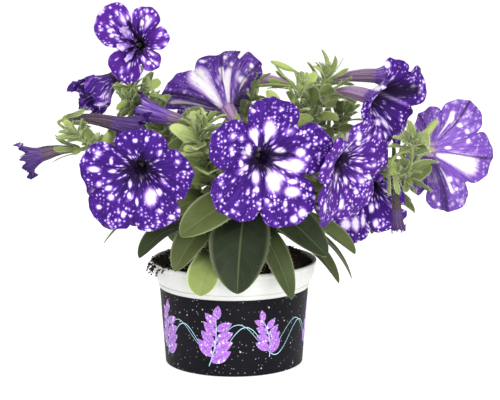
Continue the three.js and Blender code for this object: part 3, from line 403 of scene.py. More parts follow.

# Dark strokes that run out of a throat, as the camera sees them: start, end, half width at the start, and
# how dark where that isn't 1
# The strokes are painted shade: the deep throat, folds, and a lobe turned away into shadow
STROKES = {
    "bloom_front_left": [
        (0, 0, -14, -1.9, 4.5, 0.8), (0, 0, -10, -9, 4.2, 0.8), (-8, -7, -14, -20, 1.6, 0.5),
        (0, -3, -2, -16, 1.8, 0.6), (0, 0, 14, -6, 4.4, 0.8), (12, -5, 25, -8.5, 1.8, 0.5),
        (0, 0, 2.5, 11, 4, 0.8), (0, 0, -8, 7, 4, 0.8), (0, 0, 9, 6, 4, 0.8), (2, -3, 9, -14, 1.8, 0.6),
    ],
    "bloom_front_centre": [
        (-7, -2.2, 17, 2.6, 4.6), (2, 1, 4, 8.5, 2.6), (14, 2, 22, 1.5, 2.2, 0.8),
        (-8, -3, -10, -12, 1.8, 0.55), (0, -3, 1.5, -22, 1.8, 0.5), (6, -2, 13, -9, 1.7, 0.55),
        (-8, 0, -15, 6, 1.7, 0.5), (3, 6, 1, 14, 1.5, 0.5), (9, 2, 16, 8, 1.4, 0.5),
    ],
    "bloom_front_right": [
        (0, 0, 2, 4, 3.8), (0, -2, -8.7, -18, 2.8, 0.8), (2, -3, 4, -14, 2.2, 0.7), (3, 2, 14, 4, 2, 0.7),
        (1, -4, -2, -22, 1.6, 0.6),
    ],
    "bloom_right_low": [(-2, 1, 4, 1, 4), (0, 0, -4, -12, 1.8, 0.6), (2, -2, 5, -10, 1.6, 0.6)],
    "bloom_right_top": [
        (2, -1, 3, 6, 3.5), (9, 5, 32, 5, 14, 0.95), (3, -4, 10, -14, 2, 0.6), (1, -5, 3, -22, 1.8, 0.6),
    ],
    "bloom_top_left": [(0, -3, -5.5, 16, 4.4), (0, 6, 3, 21, 2, 0.7), (0, -4, -5, -12, 2.6, 0.9)],
    "bloom_far_right": [(2, -10, 10, -46, 10, 0.55), (-6, -10, -6, -34, 7, 0.5)],
    "bloom_back_centre": [(-14, 5, -48, 12, 4, 0.6), (-10, 2, -50, 8, 2, 0.5), (6, 2, 28, -4, 8, 0.45)],
}

# Leafy stems: hole in the soil, how far it rises straight, the bend, the tip, its small leaves, how much
# younger or older than on the others they look, which on centre_left is also painted light for the shade
# that the blooms cast on it, the least leaves in a tuft and their length, and the length of the leaves in
# the tuft at its top
PLAIN_STEM = dict(young=0, tuft=(5, 11.5), top=17.5)
STEMS = [{**PLAIN_STEM, **stem} for stem in [
    dict(name="left_low", hole=(-20, -10), rise=34, bend=(-66, -24, 150), tip=(-106, -44, 168), leaves=18,
         young=-0.07),
    dict(name="left_top", hole=(-14, 6), rise=46, bend=(-58, 2, 170), tip=(-72, -6, 198), leaves=16,
         young=-0.04),
    # centre_left's leaves are lifted with painted light, for the shade that the blooms cast on them
    dict(name="centre_left", hole=(-7, -8), rise=44, bend=(-20, -30, 140), tip=(-24, -42, 172), leaves=18,
         young=0.78),
    dict(name="centre", hole=(5, -16), rise=40, bend=(22, -26, 150), tip=(46, -24, 200), leaves=19,
         young=0.14),
    dict(name="right_top", hole=(10, 2), rise=52, bend=(50, 0, 170), tip=(66, -2, 208), leaves=18,
         young=0.06, top=13),
    dict(name="right", hole=(18, -6), rise=60, bend=(140, 40, 90), tip=(122, -56, 166), leaves=22,
         young=-0.27, tuft=(3, 15)),
    dict(name="right_low", hole=(13, -18), rise=30, bend=(46, -28, 134), tip=(68, -26, 154), leaves=9),
    dict(name="back_left", hole=(-14, 17), rise=34, bend=(-46, 38, 140), tip=(-60, 46, 178), leaves=11),
    dict(name="back_centre", hole=(2, 20), rise=44, bend=(4, 44, 160), tip=(14, 40, 196), leaves=12),
    dict(name="back_right", hole=(17, 14), rise=34, bend=(44, 40, 140), tip=(84, 46, 172), leaves=10),
]]

# Large lower leaves: stem, place along it, tip, width, arch, roll and how young and yellow it is
LARGE_LEAVES = [
    ("centre", 0.3, (3, -74, 66), 42, 24, 0, 0.02),
    ("centre", 0.24, (40, -77, 63), 19, 24, 10, 0.09),
    ("centre", 0.38, (64, -68, 91), 27, 14, 30, 0.03),
    ("centre", 0.4, (-36, -64, 104), 27, 12, -38, 0.24),
    ("centre_left", 0.22, (-40, -62, 79), 24, 18, -14, 0.15),
    ("centre_left", 0.08, (-22, -76, 65), 24, 18, 0, 0.58),
    ("centre_left", 0.36, (-48, -50, 116), 24, 10, -30, 0.22),
    ("left_low", 0.16, (-66, -40, 84), 22, 20, -10, 0.06),
    ("left_low", 0.42, (-90, -46, 96), 12, 10, 30, 0.2),
    ("left_low", 0.1, (-62, 16, 92), 24, 18, 0, 0.1),
    ("right_low", 0.2, (74, -40, 66), 19, 24, 10, 0.1),
    ("right_low", 0.3, (84, -24, 66), 18, 24, 0, 0.15),
    ("right_low", 0.4, (84, -56, 90), 26, 12, 0, 0.2),
    ("right", 0.14, (76, 20, 84), 26, 20, 0, 0.1),
    ("back_left", 0.14, (-46, 60, 76), 28, 24, 0, 0.1),
    ("back_centre", 0.1, (-14, 78, 66), 34, 30, 0, 0.05),
    ("back_centre", 0.24, (28, 76, 82), 28, 24, 0, 0.15),
    ("back_right", 0.14, (64, 50, 74), 26, 22, 0, 0.1),
]

# Tufts of young leaves where the plant is dense: stem, place along it, way, leaves, their length and how
# young they look
TUFTS = [
    ("left_top", 0.86, (-0.8, -0.4, -0.05), 11, 21, 0.5),
    ("left_top", 0.93, (-0.5, -0.6, 0.3), 8, 18, 0.7),
    ("left_top", 0.95, (0.7, -0.4, 0.6), 9, 19, 0.85),
    ("left_top", 0.8, (0.7, -0.4, 0.5), 8, 17, 0.7),
    ("centre_left", 0.98, (0.55, -0.1, 0.8), 7, 22, 0.95),
    ("centre_left", 0.5, (-0.4, -0.6, 0.1), 6, 16, 0.55),
    ("centre_left", 0.62, (0.5, -0.7, 0.1), 6, 16, 0.65),
    ("centre_left", 0.9, (0.8, -0.1, 0.5), 6, 20, 0.75),
    ("back_right", 0.75, (-0.2, -0.6, 0.6), 9, 22, 0.25),
    ("back_right", 0.86, (-0.3, -0.5, 0.8), 10, 24, 0.3),
    ("back_right", 0.95, (0, -0.4, 0.9), 9, 22, 0.35),
    ("right_top", 0.6, (0.7, -0.5, 0.2), 9, 20, 0.3),
    ("right_top", 0.7, (0.6, -0.5, 0.4), 10, 21, 0.35),
    ("right_top", 0.8, (0.7, -0.4, 0.3), 8, 18, 0.45),
    ("centre", 0.72, (0.6, -0.4, 0.5), 9, 20, 0.4),
]

# Closed buds: stem, place along it, foot, tip and radius
BUDS = [
    ("centre", 0.86, (41.5, -18, 213.8), (25.8, -18, 220.2), 2.2),
    ("right", 0.94, (134, -22, 168), (143.7, -20, 179.6), 2.6),
    ("left_low", 0.86, (-88, -46, 164), (-86, -48, 174), 2.8),
    ("back_right", 0.95, (88, 52, 182), (94, 58, 194), 2.4),
]


def point(values):
    return np.array(values, float)


def unit(vectors):
    return vectors / np.linalg.norm(vectors, axis=-1, keepdims=True)


def around(first, second, turn):
    """Directions at a turn from the first of two crossed axes towards the second."""
    return first * np.cos(turn)[..., None] + second * np.sin(turn)[..., None]


def full_turn(steps):
    return TURN * np.arange(steps) / steps


def smooth_step(values, low, high):
    share = np.clip((values - low) / (high - low), 0, 1)
    return share * share * (3 - 2 * share)


def spun(vector, axis, degrees):
    """A vector turned about a unit axis."""
    turn = degrees * DEGREE
    along = axis * (axis @ vector) * (1 - math.cos(turn))
    return vector * math.cos(turn) + np.cross(axis, vector) * math.sin(turn) + along


def halfway(points, share, left):
    """Points that pull a curve, drawn together at a share of its run until only a few are left."""
    share = np.asarray(share, float)[..., None]
    while len(points) > left:
        points = [first + (second - first) * share for first, second in zip(points, points[1:])]
    return points


def curve(points, share):
    return halfway(points, share, 1)[0]


def curve_way(points, share):
    first, second = halfway(points, share, 2)
    return unit(second - first)


def dice(seed):
    """The same seeded numbers from 0 to 1 as the part's source draws."""
    mask = 0xFFFFFFFF
    state = seed & mask

    def roll():
        nonlocal state
        state = (state + 0x6D2B79F5) & mask
        mixed = ((state ^ (state >> 15)) * (state | 1)) & mask
        mixed ^= (mixed + (((mixed ^ (mixed >> 7)) * (mixed | 61)) & mask)) & mask
        return ((mixed ^ (mixed >> 14)) & mask) / (mask + 1)

    return roll


def placed(name, data):
    """An object in the scene that holds the data."""
    thing = bpy.data.objects.new(name, data)
    bpy.context.scene.collection.objects.link(thing)
    return thing


class Surface:
    """Points and faces of one piece, gathered patch by patch, with numbers that its material reads."""

    def __init__(self, *channels):
        self.points = []
        self.faces = []
        self.count = 0
        self.channels = {name: [] for name in channels}

    def _add(self, points, faces, values):
        flat = points.reshape(-1, 3)
        self.points.append(flat)
        self.faces.extend(faces)
        for name, gathered in self.channels.items():
            value = np.broadcast_to(np.asarray(values.get(name, 0.0), float), points.shape[:-1])
            gathered.append(value.reshape(-1))
        self.count += len(flat)

    def grid(self, points, wrap=False, flip=False, **values):
        """Rows and columns of points, joined by quads. wrap joins the last column to the first."""
        rows, columns = points.shape[:2]
        index = self.count + np.arange(rows * columns).reshape(rows, columns)
        if wrap:
            index = np.concatenate([index, index[:, :1]], axis=1)
        corners = [index[:-1, :-1], index[:-1, 1:], index[1:, 1:], index[1:, :-1]]
        if flip:
            corners.reverse()
        quads = np.stack([corner.reshape(-1) for corner in corners], axis=1)
        self._add(points, quads.tolist(), values)

    def triangles(self, points, faces, **values):
        self._add(points, (np.asarray(faces) + self.count).tolist(), values)

    def build(self, name, slot, look, replaces=(), crease=None):
        mesh = bpy.data.meshes.new(name)
        mesh.from_pydata((np.concatenate(self.points) * MM).tolist(), [], self.faces)
        for channel, gathered in self.channels.items():
            layer = mesh.attributes.new(channel, "FLOAT", "POINT")
            layer.data.foreach_set("value", np.concatenate(gathered).astype(np.float32))
        mesh.polygons.foreach_set("use_smooth", [True] * len(mesh.polygons))
        if crease is not None:
            mesh.set_sharp_from_angle(angle=crease * DEGREE)
        mesh.validate()
        mesh.materials.append(look)
        piece = placed(name, mesh)
        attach(piece, BODY)
        if replaces:
            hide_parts(*replaces)
        return piece


class Signal:
    """What comes out of a node of a material, with the usual signs for sums on it."""

    def __init__(self, look, socket):
        self.look = look
        self.socket = socket

    def __add__(self, other):
        return self.look.math("ADD", self, other)

    def __sub__(self, other):
        return self.look.math("SUBTRACT", self, other)

    def __rsub__(self, other):
        return self.look.math("SUBTRACT", other, self)

    def __mul__(self, other):
        return self.look.math("MULTIPLY", self, other)

    def __truediv__(self, other):
        return self.look.math("DIVIDE", self, other)

    def __abs__(self):
        return self.look.math("ABSOLUTE", self)


class Look:
    """Node tree of one material, with a short call for each kind of node that it uses."""

    def __init__(self, name, **sockets):
        self.material = bpy.data.materials.new(name)
        self.material.use_nodes = True
        self.tree = self.material.node_tree
        self.tree.nodes.clear()
        self.shader = self.tree.nodes.new("ShaderNodeBsdfPrincipled")
        output = self.tree.nodes.new("ShaderNodeOutputMaterial")
        self.tree.links.new(self.shader.outputs["BSDF"], output.inputs["Surface"])
        for socket, value in sockets.items():
            self.shader.inputs[socket.replace("_", " ")].default_value = value

    def put(self, value, socket):
        if isinstance(value, Signal):
            self.tree.links.new(value.socket, socket)
        else:
            socket.default_value = value

    def node(self, kind, output, inputs, **settings):
        """A new node of some kind: what comes out of it by the output's name or number."""
        node = self.tree.nodes.new("ShaderNode" + kind)
        for name, value in settings.items():
            setattr(node, name, value)
        for name, value in inputs.items():
            self.put(value, node.inputs[name])
        return Signal(self, node.outputs[output])

    def channel(self, name):
        return self.node("Attribute", "Fac", {}, attribute_name=name)

    def place(self):
        return self.node("TexCoord", "Object", {})

    def math(self, operation, *values):
        return self.node("Math", 0, dict(enumerate(values)), operation=operation)

    def most(self, *values):
        most = values[0]
        for value in values[1:]:
            most = self.math("MAXIMUM", most, value)
        return most

    def vector(self, *values):
        return self.node("CombineXYZ", 0, dict(enumerate(values)))

    def soft(self, value, low, high, start=0.0, end=1.0):
        """Smooth step of a value from low to high."""
        inputs = {"Value": value, "From Min": low, "From Max": high, "To Min": start, "To Max": end}
        return self.node("MapRange", 0, inputs, interpolation_type="SMOOTHSTEP")

    def mix(self, factor, first, second, blend="MIX"):
        node = self.tree.nodes.new("ShaderNodeMix")
        node.data_type = "RGBA"
        node.blend_type = blend
        sockets = {socket.identifier: socket for socket in node.inputs}
        self.put(factor, sockets["Factor_Float"])
        for value, name in ((first, "A_Color"), (second, "B_Color")):
            self.put(value if isinstance(value, Signal) else (*value, 1), sockets[name])
        return Signal(self, next(socket for socket in node.outputs if socket.identifier == "Result_Color"))

    def layers(self, colour, *coats):
        """A colour with others laid over it one after another, each by its own share."""
        for share, coat in coats:
            colour = self.mix(share, colour, coat)
        return colour

    def noise(self, scale, vector=None, detail=2.0, roughness=0.5):
        inputs = {"Vector": vector or self.place(), "Scale": scale, "Detail": detail, "Roughness": roughness}
        return self.node("TexNoise", "Fac", inputs)

    def cells(self, scale, vector, dimensions="3D"):
        """Distance to the nearest cell's centre, and a number for that cell."""
        node = self.tree.nodes.new("ShaderNodeTexVoronoi")
        node.voronoi_dimensions = dimensions
        self.put(vector, node.inputs["Vector"])
        self.put(scale, node.inputs["Scale"])
        number = self.node("SeparateColor", "Red", {"Color": Signal(self, node.outputs["Color"])})
        return Signal(self, node.outputs["Distance"]), number

    def set(self, name, value):
        self.put(value, self.shader.inputs[name])

    def finish(self, colour, height=None, strength=0, distance=0):
        """The material with its colour and, if a height is given, its relief."""
        self.set("Base Color", colour)
        if height is not None:
            inputs = {"Strength": strength, "Distance": distance, "Height": height}
            self.set("Normal", self.node("Bump", "Normal", inputs))
        return self.material


# Shapes of the blooms, by the part's own formulas


def bloom_axes(bloom):
    az = bloom["az"] * DEGREE
    el = bloom["el"] * DEGREE
    face = point([math.sin(az) * math.cos(el), -math.cos(az) * math.cos(el), math.sin(el)])
    right = point([math.cos(az), math.sin(az), 0])
    return face, right, np.cross(face, right)


def limb_edge(lobes, turns):
    """Direction in degrees, reach, place from -1 to 1 across the lobe and the notch's number, by turns
    of one for each lobe."""
    angles, reaches, notches = np.array(lobes, float).T
    count = len(lobes)
    index = np.floor(turns).astype(int) % count
    spot = 2 * (turns - np.floor(turns)) - 1
    side = np.where(spot < 0, -1, 1)
    other = (index + side) % count
    between = side * (((angles[other] - angles[index]) * side) % 360)
    number = np.where(side < 0, other, index)
    share = np.abs(spot)
    reach = notches[number] + (reaches[index] - notches[number]) * (1 - share ** NOTCH_SHARPNESS)
    return angles[index] + between / 2 * share, reach, spot, number


def limb_height(bloom, angle, share):
    funnel = bloom["depth"] * (1 - (1 - share) ** 2)
    phase = bloom["at"][0] * 0.7 + bloom["at"][2] * 0.3
    ripple = np.sin(3 * angle + phase) + 0.8 * np.cos(5 * angle + 2 * phase)
    return funnel - bloom["curl"] * share ** 4 + bloom["wave"] * share ** 2 * ripple


def limb_relief(bloom, angle, share, spot):
    """Fine folds that the solid leaves out: a valley on each midrib, lobes that overlap at the notches,
    a frilled edge, and creases when wilted."""
    phase = bloom["at"][1] * 0.9
    groove = -0.45 * np.exp(-(spot / 0.05) ** 2) * share * (1 - 0.4 * share)
    valley = -1.3 * np.exp(-(spot / 0.32) ** 2) * share ** 1.4
    overlap = OVERLAP * spot ** 7 * smooth_step(share, 0.3, 0.85)
    pleats = 0.15 * np.sin(23 * angle + phase) * share
    frill = share ** 6 * (0.8 * np.sin(9 * angle + 2 * np.sin(2 * angle + phase))
                          + 0.4 * np.sin(23 * angle + 2.5 * np.sin(3 * angle + phase)))
    return groove + valley + overlap + pleats + frill + bloom["crease"] * share * creases(bloom, angle, share)


def creases(bloom, angle, share):
    """Above 0 on the ridges of a wilted limb and below 0 in its valleys, seen from its front."""
    return np.sin(9 * angle + 5 * share + bloom["at"][1] * 0.9) + 0.8 * np.sin(17 * angle - 8 * share)


def tube_line(bloom):
    face, _, _ = bloom_axes(bloom)
    start = point(bloom["at"])
    length = bloom["tube"]
    return start, start - face * 0.6 * length, start - face * length - UP * TUBE_DROOP * length


def tube_rings(bloom, along, radius, angle):
    """Rings round the tube's line. along has one value a ring, angle one a column, and radius has rows and
    columns."""
    _, right, _ = bloom_axes(bloom)
    line = tube_line(bloom)
    way = -curve_way(line, along)
    other = unit(np.cross(way, right))
    across = np.cross(other, way)
    return curve(line, along)[:, None] + around(across[:, None], other[:, None], angle) * radius[..., None]


def limb_points(bloom, angle, reach, share, spot, cut, lift):
    """Points of the limb, where they lie in the bloom's plane, and the numbers for their look. cut is how
    deep each notch is torn."""
    face, right, above = bloom_axes(bloom)
    at_x, at_y, at_z = bloom["at"]
    notch = cut * np.exp(-((1 - np.abs(spot)) / NOTCH_WIDTH) ** 2) * share ** 5
    waver = (np.sin(7 * angle + at_x) + 0.6 * np.sin(11 * angle + 2 * np.sin(3 * angle + at_z))
             + 0.4 * np.sin(29 * angle + 3 * np.sin(4 * angle + at_y)))
    tooth = MIDRIB_POINT * np.exp(-(spot / 0.11) ** 2)
    ragged = 1 + share ** 6 * (EDGE_RAGGEDNESS * waver + tooth)
    throat = THROAT_RADIUS * bloom["slim"]
    radius = throat + (reach - throat) * share * ragged - notch
    flat = flat_values(radius * np.cos(angle), radius * np.sin(angle))
    closing = bloom["close"] * smooth_step(share, CLOSE_START, 1)
    height = limb_height(bloom, angle, share) + limb_relief(bloom, angle, share, spot) + lift
    height = height + CLOSE_RISE * closing
    radius = radius * (1 - CLOSE_PULL * closing)
    x = radius * np.cos(angle)
    y = radius * np.sin(angle)
    points = point(bloom["at"]) + right * x[..., None] + above * y[..., None] + face * height[..., None]
    if bloom["crumple"]:
        points = points + crumpled(points) * (bloom["crumple"] * smooth_step(share, 0.1, 0.7))[..., None]
    return points, x, y, flat


def crumpled(points):
    """Pushes that change smoothly from place to place, each of the three read from its own spot in the
    noise."""
    pushes = []
    for place in map(Vector, points.reshape(-1, 3)):
        for spot in PUSH_SPOTS:
            pushes.append(noise.noise(place * 0.11 + spot) + 0.4 * noise.noise(place * 0.27 + spot))
    return np.array(pushes).reshape(points.shape)


def camera_axes():
    pitch = CAMERA_PITCH * DEGREE
    ahead = point([0, math.cos(pitch), -math.sin(pitch)])
    return point([1, 0, 0]), point([0, math.sin(pitch), math.cos(pitch)]), ahead


def plane_spot(bloom, across, up):
    """The place in the bloom's plane that shows at an offset from its throat, by a few corrections."""
    face, right, above = bloom_axes(bloom)
    seen_right, seen_up, ahead = camera_axes()
    eye = point(CAMERA_PLACE) / MM
    throat = point(bloom["at"]) - eye
    aim = seen_right * (throat @ seen_right + across) + seen_up * (throat @ seen_up + up)
    ray = aim / (throat @ ahead) + ahead
    spot = np.zeros(2)
    reach = max(lobe[1] for lobe in bloom["lobes"])
    for _ in range(SPOT_ROUNDS):
        share = min(1, max(0, (np.hypot(*spot) - THROAT_RADIUS) / (reach - THROAT_RADIUS)))
        height = float(limb_height(bloom, math.atan2(spot[1], spot[0]), share))
        offset = -throat - face * height
        hit = offset - ray * ((offset @ face) / (ray @ face))
        spot = point([hit @ right, hit @ above])
    return spot


def blotch_ellipses(bloom):
    """Each blotch as its centre in the bloom's plane and the matrix that takes it to a unit circle."""
    ellipses = []
    for across, up, width, height in BLOTCHES.get(bloom["name"], []):
        centre = plane_spot(bloom, across, up)
        sides = [plane_spot(bloom, across + width / 2, up) - centre,
                 plane_spot(bloom, across, up + height / 2) - centre]
        ellipses.append((centre, np.linalg.inv(np.array(sides).T)))
    if not ellipses:
        roll = dice(int(abs(bloom["at"][0]) * 31 + bloom["at"][2]))
        for _ in range(bloom["blotches"]):
            angle = TURN * roll()
            distance = 40 * (0.3 + 0.65 * roll())
            length = 2 + 4.5 * roll() ** 2
            way = point([math.cos(angle), math.sin(angle)])
            side = point([-way[1], way[0]])
            ellipses.append((way * distance, np.linalg.inv(np.array([way * length, side * length * 0.6]).T)))
    return ellipses


def stroke_field(bloom, table, x, y, first, last):
    """1 along the middle of a bloom's strokes, 0 on their edge and below 0 outside. first and last are the
    shares of its half width that a stroke has at its start and its end."""
    field = np.full(np.shape(x), -1.0)
    for across, up, far_across, far_up, half, *strength in table.get(bloom["name"], []):
        start = plane_spot(bloom, across, up)
        run = plane_spot(bloom, far_across, far_up) - start
        share = np.clip(((x - start[0]) * run[0] + (y - start[1]) * run[1]) / (run @ run), 0, 1)
        gap = np.hypot(x - start[0] - run[0] * share, y - start[1] - run[1] * share)
        inside = 1 - gap / (half * (first + (last - first) * share))
        field = np.maximum(field, np.where(inside > 0, inside * sum(strength or [1]), inside))
    return field


def blotch_field(bloom, x, y):
    """1 in the middle of a white blotch, 0 on its edge and below 0 outside."""
    field = stroke_field(bloom, WEDGES, x, y, WEDGE_START, 1)
    for centre, matrix in blotch_ellipses(bloom):
        local_x = matrix[0, 0] * (x - centre[0]) + matrix[0, 1] * (y - centre[1])
        local_y = matrix[1, 0] * (x - centre[0]) + matrix[1, 1] * (y - centre[1])
        field = np.maximum(field, 1 - np.hypot(local_x, local_y))
    return field


def flat_values(x, y):
    """Numbers that the petals' material reads: the place in the bloom's plane, and the same drawn out
    round the throat, where specks are long and narrow."""
    radius = np.maximum(np.hypot(x, y), 0.5)
    power = 0.45 + 0.55 * smooth_step(radius, 9, SPECK_ROUND * 1.3)
    drawn = SPECK_ROUND * (radius / SPECK_ROUND) ** power / radius
    return dict(flat_x=x, flat_y=y, drawn_x=x * drawn, drawn_y=y * drawn)


def add_corolla(surface, bloom):
    lobes = bloom["lobes"]
    steps, rows = SMALL_LIMB_GRID if all(lobe[1] < SMALL_REACH for lobe in lobes) else LIMB_GRID
    # Half a step off the notch, so that the torn edge falls between two columns
    turns = ((np.arange(steps * len(lobes)) + 0.5) / steps) % len(lobes)
    degrees, reach, spot, number = limb_edge(lobes, turns)
    roll = dice(int(abs(bloom["at"][2]) * 7))
    cuts = point([NOTCH_CUT * (0.4 + roll()) * min(1, lobe[1] / 30) for lobe in lobes])
    angle = degrees * DEGREE
    angles, shares = np.meshgrid(angle, np.linspace(0, 1, rows) ** 0.9)
    common = dict(wilt=bloom["shade"], warm=bloom["warm"], seed=bloom["at"][0] * 0.37 + bloom["at"][2])
    taper = 1 - smooth_step(shares, 0.75, 1)
    for back, behind in ((0, 0), (bloom["rear"], 1)):
        lift = -PETAL_THICKNESS * taper * behind
        sheet, x, y, flat = limb_points(bloom, angles, reach, shares, spot, cuts[number], lift)
        dark = stroke_field(bloom, STROKES, x, y, 1, STROKE_END)
        # Painted shade in the valleys of a wilted limb's creases, on whichever face they are hollow
        if bloom["crease"] > 0:
            valleys = creases(bloom, angles, shares) * (2 * behind - 1)
            dark = np.maximum(dark, CREASE_SHADE * min(1, bloom["crease"]) * valleys - 0.3)
        surface.grid(sheet, wrap=True, flip=behind > 0, reach=shares, lobe=np.abs(spot)[None],
                     blotch=blotch_field(bloom, x, y), dark=dark, back=back, **flat, **common)
    add_throat(surface, bloom, angle[::2], np.abs(spot)[::2], common)
    add_tube(surface, bloom, angle[::2], np.abs(spot)[::2], common)


def add_throat(surface, bloom, angle, lobe, common):
    depth = np.linspace(0, THROAT_POINT_DEPTH, THROAT_ROWS)
    deepest = min(0.42 * bloom["tube"], THROAT_POINT_DEPTH)
    radius = np.interp(depth, [0, THROAT_FOOT_DEPTH, THROAT_POINT_DEPTH],
                       [THROAT_RADIUS, THROAT_FOOT_RADIUS, 0.01])[:, None] * bloom["slim"]
    share = depth / THROAT_POINT_DEPTH
    inside = tube_rings(bloom, share * deepest / bloom["tube"], radius, angle)
    # The throat's inside is marked fully dark, painted shade of its depth
    surface.grid(inside, wrap=True, flip=True, reach=-share[:, None], lobe=lobe, blotch=-1, dark=1,
                 **flat_values(np.cos(angle) * radius, np.sin(angle) * radius), **common)


def add_tube(surface, bloom, angle, lobe, common):
    face, _, _ = bloom_axes(bloom)
    along = np.linspace(0, 1, TUBE_ROWS)[:, None]
    bulge = bloom["fade"] * np.sin(math.pi * along)
    ribs = 1 + 0.06 * np.cos(math.pi * lobe) + 0.16 * bulge * np.sin(7 * angle + 5 * along + bloom["at"][0])
    radius = np.maximum(TUBE_BASE_RADIUS, np.interp(along, *TUBE_PROFILE) * bloom["slim"])
    radius = radius * ribs * (1 - 0.22 * bulge)
    setback = PETAL_THICKNESS * (1 - along) ** 2
    rings = tube_rings(bloom, along[:, 0], radius, angle) - face * setback[..., None]
    surface.grid(rings, wrap=True, reach=-along, lobe=lobe, blotch=-1, dark=-1, back=1,
                 **flat_values(np.cos(angle) * radius, np.sin(angle) * radius), **common)


def add_petaloid(surface, bloom, degrees, reach, width):
    face, right, above = bloom_axes(bloom)
    outward = around(right, above, degrees * DEGREE)
    root = point(bloom["at"]) - face * 5 + outward * 3.2
    tip = point(bloom["at"]) + outward * reach + face * PETALOID_RISE
    leaf = blade_points(PETALOID, root, tip, width, 3.5, face, degrees % 40, degrees)
    shade = 0.75 * leaf["along"] - 0.4 - 0.45 * np.abs(leaf["across"]) ** 4
    ruffle = smooth_step(leaf["along"], 0.2, 0.8)[..., None] * PETALOID_RUFFLE
    flat = flat_values(leaf["along"] * 20, leaf["across"] * 6)
    # The petaloids take their bloom's full lift of redder colour and painted light
    for sheet, flip in ((leaf["top"], False), (leaf["bottom"], True)):
        surface.grid(sheet + crumpled(sheet * 2) * ruffle, flip=flip, reach=0.6, lobe=0.5, blotch=shade,
                     dark=-1, warm=1, seed=degrees, **flat)


def add_stamens(surface, bloom):
    """Pale anthers round a green stigma, deep in the throat, both drawn dark with painted shade."""
    face, right, above = bloom_axes(bloom)
    throat = point(bloom["at"])
    for order in range(ANTHERS + 1):
        out = 0 if order == ANTHERS else 1.3
        aside = around(right, above, TURN * order / ANTHERS) * out
        foot = throat - face * 11 + aside * 0.4
        head = throat - face * (8.4 - 0.5 * (order % 3)) + aside
        add_rod(surface, curve((foot, head), np.linspace(0, 1, 4)), np.full(4, 0.22), 5, part=0.2)
        places = np.linspace(0, 1, 6)
        radii = 0.62 * np.sin(np.linspace(0.12, math.pi - 0.12, 6))
        add_rod(surface, curve((head - face * 0.95, head + face * 0.95), places), radii, 7, part=1)


def make_bloom(bloom, looks):
    surface = Surface("reach", "lobe", "blotch", "dark", "flat_x", "flat_y", "drawn_x", "drawn_y", "back",
                      "wilt", "warm", "seed")
    add_corolla(surface, bloom)
    for petaloid in bloom["petaloids"]:
        add_petaloid(surface, bloom, *petaloid)
    surface.build(f"{bloom['name']}_petals", "petal_violet", looks["petal"], [bloom["name"]])


def make_stamens(looks):
    surface = Surface("part")
    for bloom in BLOOMS:
        if bloom["fade"] < STAMENS_UNTIL:
            add_stamens(surface, bloom)
    surface.build("stamens", "petal_violet", looks["stamen"])


# Green parts, by the part's own formulas


def petal_screen():
    """Everything that is a petal, for telling whether a small leaf would grow through one."""
    corners, faces = [], []
    for bloom in BLOOMS:
        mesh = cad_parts[bloom["name"]].data
        first = len(corners)
        corners.extend(vertex.co / MM for vertex in mesh.vertices)
        faces.extend([first + corner for corner in face.vertices] for face in mesh.polygons)
    return BVHTree.FromPolygons(corners, faces)


def soil_height(x, y):
    share = np.minimum(1, np.hypot(x, y) / (POT_RIM_RADIUS - 4))
    mound = SOIL_MOUND_HEIGHT - (SOIL_MOUND_HEIGHT - SOIL_EDGE_HEIGHT) * share ** 4
    return mound + SOIL_RELIEF * (np.sin(0.31 * x + 0.4) * np.cos(0.27 * y) + np.sin(0.19 * (x + y)))


def stem_line(stem):
    x, y = stem["hole"]
    foot = point([x, y, soil_height(x, y)])
    return foot, foot + UP * stem["rise"], point(stem["bend"]), point(stem["tip"])


def nearest_along(line, spot):
    places = np.arange(STALK_LOWEST, STALK_HIGHEST + 1e-9, 0.02)
    gaps = np.linalg.norm(curve(line, places) - spot, axis=1)
    return float(places[int(gaps.argmin())])


def stalk_line(line, place, foot, away):
    """From the foot of a calyx or a bud to a place along its stem's line."""
    end = curve(line, place)
    reach = np.linalg.norm(end - foot) * 0.4
    bend = end + curve_way(line, place) * reach * 0.6 + UP * reach * 0.4
    return foot, foot + away * reach, bend, end


def add_rod(surface, centres, radii, sides, **values):
    """Round rod through the centres, closed at its ends when the radii go to nearly nothing."""
    ways = unit(np.gradient(centres, axis=0))
    across = np.array([1.0, 0.0, 0.0])
    if abs(ways[0] @ across) > 0.9:
        across = np.array([0.0, 1.0, 0.0])
    angle = full_turn(sides)
    rings = []
    for centre, way, radius in zip(centres, ways, radii):
        other = unit(np.cross(way, across))
        across = np.cross(other, way)
        rings.append(centre + around(across, other, angle) * radius)
    rings = np.array(rings)
    surface.grid(rings, wrap=True, **values)
    return rings


def add_green_rod(surface, hairs, centres, radii, sides, per_mm, young, tone=0.5, along=0):
    rings = add_rod(surface, centres, radii, sides, young=young, plain=1, tone=tone, size=1, along=along)
    add_rod_hairs(hairs, centres, rings, per_mm)


def blade_places(kind):
    """Where a blade's rows are along it, closer at both ends, and its columns from -1 to 1 across it."""
    rows, columns = kind["grid"]
    along = (1 - np.cos(np.linspace(0, math.pi, rows))) / 2
    return along[:, None], np.linspace(-1, 1, columns)[None]


def blade_faces(kind, along, across, centre, side, normal, half, lift, vein=0):
    """Both faces of a blade. Each row has its centre, its direction across and its direction up."""
    thick = kind["thick"] / 2 * np.sqrt(np.maximum(0, 1 - across ** 2))
    sheet = centre[:, None] + side[:, None] * (half * across)[..., None]
    top = sheet + normal[:, None] * (lift + vein + thick)[..., None]
    bottom = sheet + normal[:, None] * (lift - thick)[..., None]
    return dict(top=top, bottom=bottom, along=np.broadcast_to(along, lift.shape),
                across=np.broadcast_to(across, lift.shape), side=side, normal=normal)


